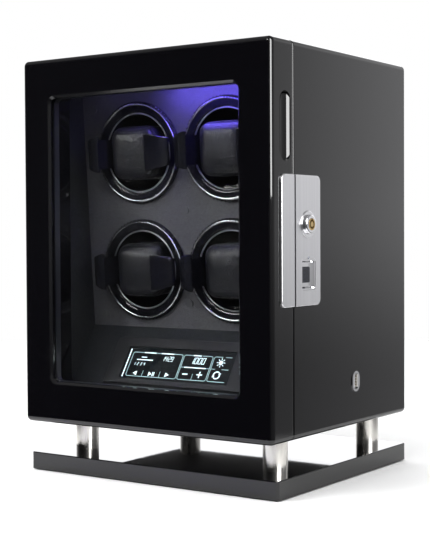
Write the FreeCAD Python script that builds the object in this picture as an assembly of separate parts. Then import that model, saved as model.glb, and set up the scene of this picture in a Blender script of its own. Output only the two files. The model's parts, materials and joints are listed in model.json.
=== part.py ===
import FreeCAD, Part
import math
import os

# A lockable cabinet that winds four automatic watches: a lacquered box with a glazed door stands on
# four steel posts over a plinth. Four turning cups lean back in a covered panel, each driven by its
# own small motor, with a sloping touch console below them.
# Millimetres. +X is the lock side, -Y the door side, +Z up. The origin is the middle of the
# underside of the felt.

# Overall
WIDTH = 250.0
DEPTH = 223.0
HEIGHT = 350.0

# Base
FELT_T = 1.0
FELT_INSET = 3.0
PLINTH_T = 14.6
PLINTH_SETBACK = 7.5
PLINTH_CORNER_R = 3.0
PLINTH_EDGE_R = 0.8
POST_R = 10.0
POST_H = 27.4
POST_SIDE_INSET = 28.0
POST_FRONT_INSET = 49.0
POST_BACK_INSET = 20.0
BOLT_R = 3.0
BOLT_HEAD_R = 6.0
BOLT_HEAD_H = 4.0
BOLT_BITE = 12.0
BOLT_CLEARANCE = 0.4

# Cabinet boards
WALL_T = 16.0
CORNER_R = 4.5
REAR_EDGE_R = 2.5
SEAM_R = 1.5
SEAM_GAP = 0.5
LINING_T = 3.0
LINING_SETBACK = 2.0
BACK_T = 6.0
REBATE_W = 5.0
BOARD_GAP = 0.3
SCREW_R = 1.6
SCREW_HEAD_R = 3.2
SCREW_L = 18.0
SCREW_INSET = 2.6

# Door
DOOR_T = 31.0
STILE_W = 30.5
TOP_RAIL_W = 33.0
BOTTOM_RAIL_W = 35.5
WINDOW_R = 5.0
WINDOW_BEVEL = 2.0
GLASS_SET = 4.5
GLASS_T = 3.0
GLASS_LAP = 3.5
RETAINER_T = 6.0

# Finger pull in the door's edge: its middle above the cabinet's underside, size and depth
PULL_RISE = 241.0
PULL_L = 53.0
PULL_FRONT = 12.2
PULL_REAR = 27.9
PULL_DEPTH = 4.0

# Hinges
HINGE_END_INSET = 52.0
HINGE_L = 40.0
KNUCKLE_R = 2.6
KNUCKLE_GAP = 0.4
HINGE_OFFSET = 3.0
PIN_R = 1.3
PIN_RUNNING = 0.05
LEAF_T = 1.4
LEAF_W = 13.0

# Rotor panel: the chrome rings lie in one leaning plane, this far behind the seam. The height
# that the bezels leave free is spread below, between and above them in these proportions.
LEAN_DEG = 4.2
RING_DEPTH = 29.6
GAP_ACROSS = 5.0
SPREAD_BELOW = 6.1
SPREAD_BETWEEN = 13.4
SPREAD_ABOVE = 15.5
BEZEL_PROUD = 4.0
PANEL_T = 9.0

# Bezel and its ring, outside the turning cup
BEZEL_BORE_GAP = 0.4
BEZEL_W = 8.9
CHROME_INSET = 2.35
CHROME_W = 1.6
CHROME_SET = 0.9
CHROME_PROUD = 0.3
CHROME_EDGE_R = 0.55
BEZEL_FACE_DROP = 0.8
BEZEL_EDGE_R = 1.4

# Turning cup, from its lip back to its spindle
CUP_R = 34.2
LIP_DEPTH = 2.4
CUP_WALL = 1.2
CUP_LIP_R = 0.5
CUP_STEP = 1.0
CUP_STEP_DEPTHS = (14.0, 26.0)
CUP_FLOOR_DEPTH = 38.0
CUP_FLOOR_T = 2.5
SPINDLE_R = 4.0
SPINDLE_TAIL_R = 3.0
RUNNING = 0.05

# Can that carries the cup
CAN_GAP = 1.0
PANEL_HOLE_GAP = 1.8
CAN_WALL = 2.0
CAN_FLANGE_W = 6.8
CAN_FLANGE_T = 2.0
CAN_FLOOR_GAP = 2.5
CAN_FLOOR_T = 3.0

# Gears
MODULE = 1.25
GEAR_TEETH = 36
PINION_TEETH = 12
GEAR_GAP = 2.0
GEAR_W = 6.0
MOTOR_SHAFT_R = 1.5

# Drive plate, motors
PLATE_GAP = 6.0
PLATE_T = 2.0
PLATE_MARGIN = 7.0
STANDOFF_R = 4.0
STANDOFF_INSET = 12.5
STANDOFF_DROP = 4.0
STANDOFF_BELOW_CENTRE = 78.5
PANEL_SCREW_R = 1.6
CAP_R = 3.2
CAP_T = 0.8
MOTOR_R = 12.0
MOTOR_L = 22.0

# Cushion and its holder
CUSHION_WALL_GAP = 0.43
CUSHION_FRONT = 12.0
CUSHION_BACK = 30.0
CUSHION_R = 9.0
CUSHION_GAP = 0.5
HOLDER_BASE_GAP = 7.0
HOLDER_BASE_T = 3.0
ARM_T = 3.0
ARM_WALL_GAP = 0.65
EAR_BEND_R = 22.0
EAR_T = 2.6
EAR_END_DEG = 31.0
EAR_ROOT_H = 31.0
EAR_TIP_H = 21.0
EAR_EDGE_R = 0.9

# Console slope below the panel
CONSOLE_TOP_RISE = 79.0
CONSOLE_ANGLE_DEG = 56.6
CONSOLE_L = 56.8
CONSOLE_T = 6.0
DISPLAY_W = 142.0
DISPLAY_TOP = 11.5
DISPLAY_BOTTOM = 56.0
DISPLAY_PROUD = 2.0
DISPLAY_R = 5.0
SCREEN_W = 111.0
SCREEN_TOP = 20.5
SCREEN_BOTTOM = 51.0
SCREEN_T = 1.5
SCREEN_SET = 1.0
SCREEN_GAP = 0.2

# Lock: heights above the cabinet's underside, depths behind the seam
LOCK_RISE = 154.0
LOCK_H = 101.5
LOCK_FRONT_INSET = 12.0
LOCK_L = 38.2
LOCK_T = 2.0
LOCK_R = 5.0
LOCK_EDGE_R = 1.2
CYLINDER_BACK = 18.5
CYLINDER_RISE = 12.5
CYLINDER_R = 10.5
CYLINDER_BODY_R = 7.0
CYLINDER_PROUD = 0.8
BOSS_R = 7.6
BOSS_PROUD = 2.6
BOSS_EDGE_R = 1.2
PLUG_PROUD = 0.3
PLUG_R = 4.75
KEYWAY_R = (2.2, 3.6)
KEYWAY_DEPTH = 6.0
CAM_R = 6.6
CAM_T = 1.3
CAM_GAP = 0.2
CRANK_REACH = 3.0
CRANK = 5.0
CRANK_PIN_R = 1.2
CRANK_SLOT = 0.3
SENSOR_BACK = 19.5
SENSOR_DROP = 26.5
SENSOR_W = 21.5
SENSOR_H = 24.0
SENSOR_R = 3.0
SENSOR_RIM = 1.4
SENSOR_SLOPE = 1.2
SENSOR_WELL_DEPTH = 1.5
SENSOR_T = 4.5
SENSOR_SET = 0.3
CASE_T = 1.2
CASE_FRONT_GAP = 4.0
CASE_L = 28.5
CASE_SIDE_GAP = 2.5
CASE_H = 93.0
BOLT_BAR = 4.0
BOLT_BAR_D = 4.5
BOLT_FIT = 0.1
TONGUE_T = 3.0
TONGUE_RISE = 37.0
TONGUE_L = 15.5

# Sockets
USB_BACK = 98.5
USB_RISE = 36.7
USB_W = 12.0
USB_H = 17.0
DC_X = -60.0
DC_RISE = 42.0

# Light bar
LIGHT_L = 180.0
LIGHT_W = 8.0
LIGHT_H = 6.0

V = FreeCAD.Vector
FRONT = -DEPTH / 2
BACK = DEPTH / 2
HALF_W = WIDTH / 2
PLINTH_TOP = FELT_T + PLINTH_T
BOX_BOTTOM = PLINTH_TOP + POST_H
DOOR_BACK = FRONT + DOOR_T
SEAM = DOOR_BACK + SEAM_GAP
INNER_X = HALF_W - WALL_T
INNER_BOTTOM = BOX_BOTTOM + WALL_T
INNER_TOP = HEIGHT - WALL_T
LINED_X = INNER_X - LINING_T
LINED_TOP = INNER_TOP - LINING_T
HINGE_Z = (BOX_BOTTOM + HINGE_END_INSET, HEIGHT - HINGE_END_INSET)
BEZEL_BORE_R = CUP_R + BEZEL_BORE_GAP
BEZEL_R = BEZEL_BORE_R + BEZEL_W
CHROME_R = BEZEL_R - CHROME_INSET
PITCH_ACROSS = 2 * BEZEL_R + GAP_ACROSS
SPREAD = LINED_TOP - BOX_BOTTOM - CONSOLE_TOP_RISE - 4 * BEZEL_R
SPREAD_UNIT = SPREAD / (SPREAD_BELOW + SPREAD_BETWEEN + SPREAD_ABOVE)
PITCH_UP = 2 * BEZEL_R + SPREAD_UNIT * SPREAD_BETWEEN
RING_LOW_Z = BOX_BOTTOM + CONSOLE_TOP_RISE + SPREAD_UNIT * SPREAD_BELOW
RING_CENTRE_Z = RING_LOW_Z + BEZEL_R + PITCH_UP / 2
PANEL_HOLE_R = CUP_R + PANEL_HOLE_GAP
CUP_BORE_R = CUP_R - CUP_WALL
CUP_FLOOR_R = CUP_BORE_R - 2 * CUP_STEP
CUSHION_SIDE = math.sqrt(2) * (CUP_FLOOR_R - CUSHION_WALL_GAP - CUSHION_R) + 2 * CUSHION_R
ARM_X = CUSHION_SIDE / 2 + CUSHION_GAP
ARM_H = 2 * math.sqrt((CUP_FLOOR_R - ARM_WALL_GAP) ** 2 - (ARM_X + ARM_T) ** 2)
CAN_R = CUP_R + CAN_GAP
CAN_FLANGE_R = CAN_R + CAN_FLANGE_W
CAN_FLOOR_DEPTH = CUP_FLOOR_DEPTH + CUP_FLOOR_T + CAN_FLOOR_GAP
GEAR_DEPTH = CAN_FLOOR_DEPTH + CAN_FLOOR_T + GEAR_GAP
PLATE_DEPTH = GEAR_DEPTH + GEAR_W + PLATE_GAP
STANDOFF_ACROSS = LINED_X - STANDOFF_INSET
STANDOFF_UP = PITCH_UP / 2 + BEZEL_R - STANDOFF_DROP
PULL_Z = BOX_BOTTOM + PULL_RISE
LOCK_Z = BOX_BOTTOM + LOCK_RISE
USB_Z = BOX_BOTTOM + USB_RISE
DC_Z = BOX_BOTTOM + DC_RISE
CONSOLE_TOP_Z = BOX_BOTTOM + CONSOLE_TOP_RISE
CREASE = 0.02


# Basic solids

def box(x0, x1, y0, y1, z0, z1):
    return Part.makeBox(x1 - x0, y1 - y0, z1 - z0, V(x0, y0, z0))


def rod(radius, start, end):
    axis = end - start
    return Part.makeCylinder(radius, axis.Length, start, axis)


def prism(points, direction):
    outline = Part.makePolygon(points + points[:1])
    return Part.Face(outline).extrude(direction)


def turned(profile):
    """A solid of revolution about Y from (radius, depth) points."""
    points = [V(radius, depth, 0) for radius, depth in profile]
    outline = Part.makePolygon(points + points[:1])
    return Part.Face(outline).revolve(V(0, 0, 0), V(0, 1, 0), 360)


def span(edge, axis):
    limits = edge.BoundBox
    return {
        "x": (limits.XMin, limits.XMax),
        "y": (limits.YMin, limits.YMax),
        "z": (limits.ZMin, limits.ZMax),
    }[axis]


def lies_at(edge, axis, value):
    low, high = span(edge, axis)
    return abs(low - value) < CREASE and abs(high - value) < CREASE


def runs_along(edge, axis):
    others = [letter for letter in "xyz" if letter != axis]
    flat = all(span(edge, other)[1] - span(edge, other)[0] < CREASE for other in others)
    return flat and isinstance(edge.Curve, Part.Line)


def is_circle(edge, radius, depth):
    """Whether an edge is a circle of one radius about Y, at one depth."""
    round_edge = isinstance(edge.Curve, Part.Circle)
    return round_edge and abs(edge.Curve.Radius - radius) < CREASE and lies_at(edge, "y", depth)


def rounded(shape, radius, keep):
    return shape.makeFillet(radius, [edge for edge in shape.Edges if keep(edge)])


def rounded_block(x0, x1, y0, y1, z0, z1, radius, axis):
    """A block with the four edges along one axis rounded."""
    return rounded(box(x0, x1, y0, y1, z0, z1), radius, lambda edge: runs_along(edge, axis))


def group(shapes):
    return Part.makeCompound(shapes)


# Leaning frame of the rotor panel: X across, Y back from the ring plane, Z up the panel

LEAN = FreeCAD.Placement(
    V(0, SEAM + RING_DEPTH, RING_CENTRE_Z), FreeCAD.Rotation(V(1, 0, 0), LEAN_DEG)
)
ROTOR_CENTRES = [
    V(across * PITCH_ACROSS / 2, 0, up * PITCH_UP / 2) for up in (1, -1) for across in (-1, 1)
]


def leaning(shape):
    shape.Placement = LEAN.multiply(shape.Placement)
    return shape


def at_rotor(shape, centre):
    shape.translate(centre)
    return leaning(shape)


def at_rotors(make):
    return group([at_rotor(make(), centre) for centre in ROTOR_CENTRES])


def panel_y(height, depth):
    """Where a plane parallel to the ring plane stands at one height."""
    lean = math.radians(LEAN_DEG)
    return SEAM + RING_DEPTH + (RING_CENTRE_Z - height) * math.tan(lean) + depth / math.cos(lean)


# Sloping frame of the console: X across, Y into the board, Z up the slope from its top edge

CONSOLE_TOP_Y = panel_y(CONSOLE_TOP_Z, BEZEL_PROUD)
SLOPE = FreeCAD.Placement(
    V(0, CONSOLE_TOP_Y, CONSOLE_TOP_Z),
    FreeCAD.Rotation(V(1, 0, 0), CONSOLE_ANGLE_DEG - 90),
)


def sloping(shape):
    shape.Placement = SLOPE.multiply(shape.Placement)
    return shape


# Base

POST_SPOTS = [
    V(across * (HALF_W - POST_SIDE_INSET), y, 0)
    for y in (FRONT + POST_FRONT_INSET, BACK - POST_BACK_INSET)
    for across in (-1, 1)
]


def base_felt():
    return box(
        -HALF_W + FELT_INSET, HALF_W - FELT_INSET,
        FRONT + PLINTH_SETBACK + FELT_INSET, BACK - FELT_INSET, 0, FELT_T,
    )


def plinth():
    slab = rounded_block(
        -HALF_W, HALF_W, FRONT + PLINTH_SETBACK, BACK, FELT_T, PLINTH_TOP, PLINTH_CORNER_R, "z"
    )
    slab = rounded(slab, PLINTH_EDGE_R, lambda edge: lies_at(edge, "z", PLINTH_TOP))
    for spot in POST_SPOTS:
        slab = slab.cut(rod(BOLT_R + BOLT_CLEARANCE, spot, spot + V(0, 0, PLINTH_TOP + 1)))
        head_top = FELT_T + BOLT_HEAD_H
        slab = slab.cut(rod(BOLT_HEAD_R + BOLT_CLEARANCE, spot, spot + V(0, 0, head_top)))
    return slab


def posts():
    columns = []
    for spot in POST_SPOTS:
        column = rod(POST_R, spot + V(0, 0, PLINTH_TOP), spot + V(0, 0, BOX_BOTTOM))
        bore = rod(BOLT_R + BOLT_CLEARANCE, spot, spot + V(0, 0, HEIGHT))
        columns.append(column.cut(bore))
    return group(columns)


def post_bolts():
    bolts = []
    for spot in POST_SPOTS:
        head_top = spot + V(0, 0, FELT_T + BOLT_HEAD_H)
        head = rod(BOLT_HEAD_R, spot + V(0, 0, FELT_T), head_top)
        shank = rod(BOLT_R, head_top, spot + V(0, 0, BOX_BOTTOM + BOLT_BITE))
        bolts.append(head.fuse(shank).removeSplitter())
    return group(bolts)


# Cabinet shell: one hollow box, mitred into four boards

def shell():
    outer = box(-HALF_W, HALF_W, SEAM, BACK, BOX_BOTTOM, HEIGHT)
    outer = rounded(outer, CORNER_R, lambda edge: runs_along(edge, "y"))
    outer = rounded(outer, REAR_EDGE_R, lambda edge: lies_at(edge, "y", BACK))
    outer = rounded(outer, SEAM_R, lambda edge: lies_at(edge, "y", SEAM))
    hollow = box(-INNER_X, INNER_X, SEAM - 1, BACK + 1, INNER_BOTTOM, INNER_TOP)
    rebate = box(
        -INNER_X - REBATE_W, INNER_X + REBATE_W, BACK - BACK_T, BACK + 1,
        INNER_BOTTOM - REBATE_W, INNER_TOP + REBATE_W,
    )
    return outer.cut(hollow).cut(rebate)


def board(outer_a, outer_b, inner_b, inner_a):
    """The stretch of the shell between two mitres, given as (x, z) corners."""
    corners = [V(x, SEAM - 2, z) for x, z in (outer_a, outer_b, inner_b, inner_a)]
    return shell().common(prism(corners, V(0, DEPTH, 0)))


CORNERS = {
    "left_low": ((-HALF_W, BOX_BOTTOM), (-INNER_X, INNER_BOTTOM)),
    "right_low": ((HALF_W, BOX_BOTTOM), (INNER_X, INNER_BOTTOM)),
    "right_high": ((HALF_W, HEIGHT), (INNER_X, INNER_TOP)),
    "left_high": ((-HALF_W, HEIGHT), (-INNER_X, INNER_TOP)),
}


def mitred(first, second):
    (outer_a, inner_a), (outer_b, inner_b) = CORNERS[first], CORNERS[second]
    return board(outer_a, outer_b, inner_b, inner_a)


def carcass_top():
    return mitred("left_high", "right_high")


def carcass_bottom():
    part = mitred("left_low", "right_low")
    for spot in POST_SPOTS:
        part = part.cut(rod(BOLT_R, spot, spot + V(0, 0, BOX_BOTTOM + BOLT_BITE)))
    return part


def with_screw_holes(part):
    for spot in back_screw_spots():
        part = part.cut(rod(SCREW_R, spot, spot - V(0, SCREW_L, 0)))
    return part


def carcass_left():
    part = with_screw_holes(mitred("left_low", "left_high"))
    for height in HINGE_Z:
        part = part.cut(leaf_plate(height, SEAM, 1))
    return part


def carcass_right():
    part = with_screw_holes(mitred("right_low", "right_high"))
    part = part.cut(case_outline(BOARD_GAP / 2))
    part = part.cut(tongue_path())
    part = part.cut(usb_body(BOARD_GAP / 2))
    return part


def back_panel():
    edge = REBATE_W - BOARD_GAP
    panel = box(
        -INNER_X - edge, INNER_X + edge, BACK - BACK_T, BACK, INNER_BOTTOM - edge, INNER_TOP + edge
    )
    for spot in back_screw_spots():
        panel = panel.cut(back_screw(spot, 0))
    jack = rod(DC_BARREL_R, V(DC_X, BACK - BACK_T - 1, DC_Z), V(DC_X, BACK + 1, DC_Z))
    return panel.cut(jack)


def back_screw_spots():
    x = INNER_X + SCREW_INSET
    heights = [INNER_BOTTOM + 12, (INNER_BOTTOM + INNER_TOP) / 2, INNER_TOP - 12]
    return [V(across * x, BACK, height) for height in heights for across in (-1, 1)]


def back_screw(spot, drive_depth):
    """A countersunk screw, flush with the back panel, with a round drive recess."""
    shank = rod(SCREW_R, spot, spot - V(0, SCREW_L, 0))
    cone = Part.makeCone(
        SCREW_HEAD_R - 1.0, SCREW_R, SCREW_HEAD_R - 1.0 - SCREW_R, spot, V(0, -1, 0)
    )
    screw = shank.fuse(cone).removeSplitter()
    if drive_depth:
        screw = screw.cut(rod(0.8, spot - V(0, drive_depth, 0), spot + V(0, 1, 0)))
    return screw


def back_panel_screws():
    return group([back_screw(spot, 1.0) for spot in back_screw_spots()])


def interior_linings():
    rear = panel_y(INNER_BOTTOM, BEZEL_PROUD + PANEL_T) + 5
    front = SEAM + LINING_SETBACK
    sides = []
    for across in (-1, 1):
        low, high = sorted((across * LINED_X, across * INNER_X))
        sides.append(box(low, high, front, rear, INNER_BOTTOM, INNER_TOP))
    top = box(-LINED_X, LINED_X, front, rear, LINED_TOP, INNER_TOP)
    return group(sides + [top])


def led_bar():
    y = SEAM + LINING_SETBACK + 2
    bar = rounded_block(
        -LIGHT_L / 2, LIGHT_L / 2, y, y + LIGHT_W, LINED_TOP - LIGHT_H, LINED_TOP, 1.5, "x"
    )
    return bar


# Rotor panel and console

def inside(shape):
    """Trims a leaning sheet to the lined space."""
    return shape.common(box(-LINED_X, LINED_X, SEAM, BACK, INNER_BOTTOM, LINED_TOP))


def rotor_panel():
    reach = HEIGHT
    sheet = leaning(
        box(-LINED_X, LINED_X, BEZEL_PROUD, BEZEL_PROUD + PANEL_T, -reach, reach)
    )
    sheet = inside(sheet)
    depth = BEZEL_PROUD - 1
    for centre in ROTOR_CENTRES:
        hole = rod(PANEL_HOLE_R, V(0, depth, 0), V(0, depth + PANEL_T + 2, 0))
        sheet = sheet.cut(at_rotor(hole, centre))
    for spot in STANDOFF_SPOTS:
        hole = rod(PANEL_SCREW_R, V(0, depth, 0), V(0, depth + PANEL_T + 2, 0))
        sheet = sheet.cut(at_rotor(hole, spot))
    return sheet


def console():
    """A bent board: a slope down from the panel's face, then an upright lip to the floor."""
    angle = math.radians(CONSOLE_ANGLE_DEG)
    lean = math.tan(math.radians(LEAN_DEG))
    steep = math.tan(angle)
    top = V(-LINED_X, CONSOLE_TOP_Y, CONSOLE_TOP_Z)
    foot = top - V(0, math.cos(angle), math.sin(angle)) * CONSOLE_L
    # The underside of the slope is a parallel line that drops below the top by this much.
    drop = CONSOLE_T / math.cos(angle)
    # It meets the lip's rear face at the foot, and the panel's face at the top.
    inner_foot = V(-LINED_X, foot.y + CONSOLE_T, foot.z + CONSOLE_T * steep - drop)
    fall = drop / (1 + steep * lean)
    inner_top = top + V(0, fall * lean, -fall)
    outline = [
        top,
        foot,
        V(-LINED_X, foot.y, INNER_BOTTOM),
        V(-LINED_X, foot.y + CONSOLE_T, INNER_BOTTOM),
        inner_foot,
        inner_top,
    ]
    part = prism(outline, V(2 * LINED_X, 0, 0))
    return part.cut(sloping(screen_block(SCREEN_W, -1, CONSOLE_T * 3)))


def screen_block(width, front, back):
    return box(-width / 2, width / 2, front, back, -SCREEN_BOTTOM, -SCREEN_TOP)


def display_frame():
    frame = box(
        -DISPLAY_W / 2, DISPLAY_W / 2, -DISPLAY_PROUD, 0, -DISPLAY_BOTTOM, -DISPLAY_TOP
    )
    top_corners = [
        edge for edge in frame.Edges
        if runs_along(edge, "y") and lies_at(edge, "z", -DISPLAY_TOP)
    ]
    frame = frame.makeFillet(DISPLAY_R, top_corners)
    frame = rounded(frame, 0.8, lambda edge: lies_at(edge, "y", -DISPLAY_PROUD))
    return sloping(frame.cut(screen_block(SCREEN_W, -DISPLAY_PROUD - 1, 1)))


def display_glass():
    glass = box(
        -SCREEN_W / 2 + SCREEN_GAP, SCREEN_W / 2 - SCREEN_GAP,
        -SCREEN_SET, SCREEN_T - SCREEN_SET,
        -SCREEN_BOTTOM + SCREEN_GAP, -SCREEN_TOP - SCREEN_GAP,
    )
    return sloping(glass)


def display_module():
    front = SCREEN_T - SCREEN_SET
    module = box(
        -SCREEN_W / 2 + SCREEN_GAP, SCREEN_W / 2 - SCREEN_GAP, front, CONSOLE_T + 2,
        -SCREEN_BOTTOM + SCREEN_GAP, -SCREEN_TOP - SCREEN_GAP,
    )
    socket = box(-12, 12, CONSOLE_T + 2, CONSOLE_T + 6, -SCREEN_TOP - 10, -SCREEN_TOP - 4)
    return sloping(module.fuse(socket).removeSplitter())


def control_board():
    y0 = SEAM + 20.5
    y1 = y0 + 17
    base = INNER_BOTTOM + 5
    board_top = base + 1.6
    part = box(-60, 60, y0, y1, base, board_top)
    for x in (-55, 55):
        for y in (y0 + 3.5, y1 - 3.5):
            part = part.fuse(rod(2.5, V(x, y, INNER_BOTTOM), V(x, y, base)))
    for x in (-40, -22, -4):
        part = part.fuse(box(x, x + 13, y0 + 3, y1 - 3, board_top, board_top + 7))
    for x in (20, 30):
        part = part.fuse(rod(4, V(x, y0 + 8, board_top), V(x, y0 + 8, board_top + 8)))
    part = part.fuse(box(40, 54, y0 + 1, y0 + 7, board_top, board_top + 6))
    return part.removeSplitter()


# Door

DOOR_WINDOW = (
    -HALF_W + STILE_W, HALF_W - STILE_W, BOX_BOTTOM + BOTTOM_RAIL_W, HEIGHT - TOP_RAIL_W
)


def window_block(y0, y1, lap):
    x0, x1, z0, z1 = DOOR_WINDOW
    return rounded_block(
        x0 - lap, x1 + lap, y0, y1, z0 - lap, z1 + lap, WINDOW_R, "y"
    )


def door_frame():
    slab = box(-HALF_W, HALF_W, FRONT, DOOR_BACK, BOX_BOTTOM, HEIGHT)
    slab = rounded(
        slab, CORNER_R, lambda edge: runs_along(edge, "y") or lies_at(edge, "y", FRONT)
    )
    slab = rounded(slab, SEAM_R, lambda edge: lies_at(edge, "y", DOOR_BACK))
    slab = slab.cut(window_block(FRONT - 1, DOOR_BACK + 1, 0))
    x0, x1 = DOOR_WINDOW[:2]
    bevelled = [
        edge for edge in slab.Edges
        if lies_at(edge, "y", FRONT)
        and x0 - 1 < span(edge, "x")[0] and span(edge, "x")[1] < x1 + 1
        and DOOR_WINDOW[2] - 1 < span(edge, "z")[0] and span(edge, "z")[1] < DOOR_WINDOW[3] + 1
    ]
    slab = slab.makeChamfer(WINDOW_BEVEL, bevelled)
    slab = slab.cut(window_block(FRONT + GLASS_SET, DOOR_BACK + 1, GLASS_LAP))
    slab = slab.cut(finger_pull())
    for height in HINGE_Z:
        slab = slab.cut(leaf_plate(height, DOOR_BACK, -1))
    return slab.cut(striker_plate())


def finger_pull():
    """A stadium pocket with a round bottom, as a ball-nosed cutter leaves it."""
    middle = FRONT + (PULL_FRONT + PULL_REAR) / 2
    end_r = (PULL_REAR - PULL_FRONT) / 2
    low = PULL_Z - PULL_L / 2 + end_r
    high = PULL_Z + PULL_L / 2 - end_r
    reach = PULL_DEPTH + 2
    x0 = HALF_W - PULL_DEPTH - 1
    stadium = box(x0, x0 + reach, middle - end_r, middle + end_r, low, high)
    for height in (low, high):
        stadium = stadium.fuse(rod(end_r, V(x0, middle, height), V(x0 + reach, middle, height)))
    trough_r = (end_r ** 2 + PULL_DEPTH ** 2) / (2 * PULL_DEPTH)
    centre_x = HALF_W - PULL_DEPTH + trough_r
    trough = rod(
        trough_r, V(centre_x, middle, PULL_Z - PULL_L), V(centre_x, middle, PULL_Z + PULL_L)
    )
    return stadium.removeSplitter().common(trough)


def door_glass():
    return window_block(
        FRONT + GLASS_SET, FRONT + GLASS_SET + GLASS_T, GLASS_LAP - BOARD_GAP
    )


def glass_retainer():
    y0 = FRONT + GLASS_SET + GLASS_T
    ring = window_block(y0, y0 + RETAINER_T, GLASS_LAP - BOARD_GAP / 2)
    return ring.cut(window_block(y0 - 1, y0 + RETAINER_T + 1, 0))


# Hinges on the left edge

HINGE_X = -HALF_W - HINGE_OFFSET
HINGE_Y = (DOOR_BACK + SEAM) / 2
LEAF_REACH = 0.3


def leaf_plate(height, face, side):
    """The flat of a hinge leaf, let into one face of the seam. side is 1 for the cabinet."""
    low, high = sorted((face, face + side * LEAF_T))
    return box(
        -HALF_W - LEAF_REACH, -HALF_W + LEAF_W, low, high,
        height - HINGE_L / 2, height + HINGE_L / 2,
    )


def knuckle_spans(height):
    """The lower, middle and upper knuckles of one hinge."""
    third = HINGE_L / 3
    low = height - HINGE_L / 2
    gap = KNUCKLE_GAP / 2
    return [
        (low + index * third + gap * (index > 0), low + (index + 1) * third - gap * (index < 2))
        for index in range(3)
    ]


def hinge_leaves(face, side, indexes, bore_r):
    leaves = []
    for height in HINGE_Z:
        leaf = leaf_plate(height, face, side)
        trimmed = box(
            -HALF_W - LEAF_REACH - 1, -HALF_W, FRONT, BACK, height - HINGE_L, height + HINGE_L
        )
        leaf = leaf.cut(trimmed)
        low_y, high_y = sorted((face, face + side * LEAF_T))
        for index in indexes:
            z0, z1 = knuckle_spans(height)[index]
            wing = box(HINGE_X, -HALF_W, low_y, high_y, z0, z1)
            barrel = rod(KNUCKLE_R, V(HINGE_X, HINGE_Y, z0), V(HINGE_X, HINGE_Y, z1))
            leaf = leaf.fuse(wing).fuse(barrel)
        bore = rod(
            bore_r, V(HINGE_X, HINGE_Y, height - HINGE_L), V(HINGE_X, HINGE_Y, height + HINGE_L)
        )
        leaves.append(leaf.cut(bore).removeSplitter())
    return group(leaves)


def hinge_leaves_cabinet():
    return hinge_leaves(SEAM, 1, (0, 2), PIN_R)


def hinge_leaves_door():
    return hinge_leaves(DOOR_BACK, -1, (1,), PIN_R + PIN_RUNNING)


def hinge_pins():
    pins = []
    for height in HINGE_Z:
        low = V(HINGE_X, HINGE_Y, height - HINGE_L / 2)
        high = V(HINGE_X, HINGE_Y, height + HINGE_L / 2)
        pin = rod(PIN_R, low, high)
        cap_t = 1.0
        for start, step in ((low, -cap_t), (high, cap_t)):
            pin = pin.fuse(rod(KNUCKLE_R, start, start + V(0, 0, step)))
        pins.append(pin.removeSplitter())
    return group(pins)


# Rotors

def bezel():
    """A fixed ring with a nearly flat face, a groove for the chrome and a rounded inner edge."""
    groove_in = CHROME_R - CHROME_W / 2
    groove_out = CHROME_R + CHROME_W / 2
    ring = turned([
        (BEZEL_BORE_R, BEZEL_PROUD),
        (BEZEL_R, BEZEL_PROUD),
        (BEZEL_R, BEZEL_PROUD - 0.8),
        (groove_out + 0.3, 0.4),
        (groove_out, 0.4),
        (groove_out, CHROME_SET),
        (groove_in, CHROME_SET),
        (groove_in, 0.3),
        (BEZEL_BORE_R, BEZEL_FACE_DROP),
    ])
    return rounded(ring, BEZEL_EDGE_R, lambda edge: is_circle(edge, BEZEL_BORE_R, BEZEL_FACE_DROP))


def chrome_ring():
    inner = CHROME_R - CHROME_W / 2
    outer = CHROME_R + CHROME_W / 2
    ring = turned([
        (inner, CHROME_SET),
        (outer, CHROME_SET),
        (outer, -CHROME_PROUD),
        (inner, -CHROME_PROUD),
    ])
    return rounded(
        ring,
        CHROME_EDGE_R,
        lambda edge: is_circle(edge, inner, -CHROME_PROUD) or is_circle(edge, outer, -CHROME_PROUD),
    )


def rotor_cup():
    first, second = CUP_STEP_DEPTHS
    rear = CUP_FLOOR_DEPTH + CUP_FLOOR_T
    tail = PLATE_DEPTH - 3
    cup = turned([
        (0, CUP_FLOOR_DEPTH),
        (CUP_FLOOR_R, CUP_FLOOR_DEPTH),
        (CUP_FLOOR_R, second),
        (CUP_BORE_R - CUP_STEP, second),
        (CUP_BORE_R - CUP_STEP, first),
        (CUP_BORE_R, first),
        (CUP_BORE_R, LIP_DEPTH),
        (CUP_R, LIP_DEPTH),
        (CUP_R, rear),
        (SPINDLE_R, rear),
        (SPINDLE_R, tail),
        (SPINDLE_TAIL_R, tail),
        (SPINDLE_TAIL_R, PLATE_DEPTH + PLATE_T + 1),
        (0, PLATE_DEPTH + PLATE_T + 1),
    ])
    return rounded(
        cup,
        CUP_LIP_R,
        lambda edge: is_circle(edge, CUP_BORE_R, LIP_DEPTH) or is_circle(edge, CUP_R, LIP_DEPTH),
    )


def rotor_can():
    front = BEZEL_PROUD + PANEL_T
    outer = CAN_R + CAN_WALL
    bore = SPINDLE_R + RUNNING
    return turned([
        (CAN_R, front),
        (CAN_FLANGE_R, front),
        (CAN_FLANGE_R, front + CAN_FLANGE_T),
        (outer, front + CAN_FLANGE_T),
        (outer, CAN_FLOOR_DEPTH + CAN_FLOOR_T),
        (bore, CAN_FLOOR_DEPTH + CAN_FLOOR_T),
        (bore, CAN_FLOOR_DEPTH),
        (CAN_R, CAN_FLOOR_DEPTH),
    ])


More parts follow.
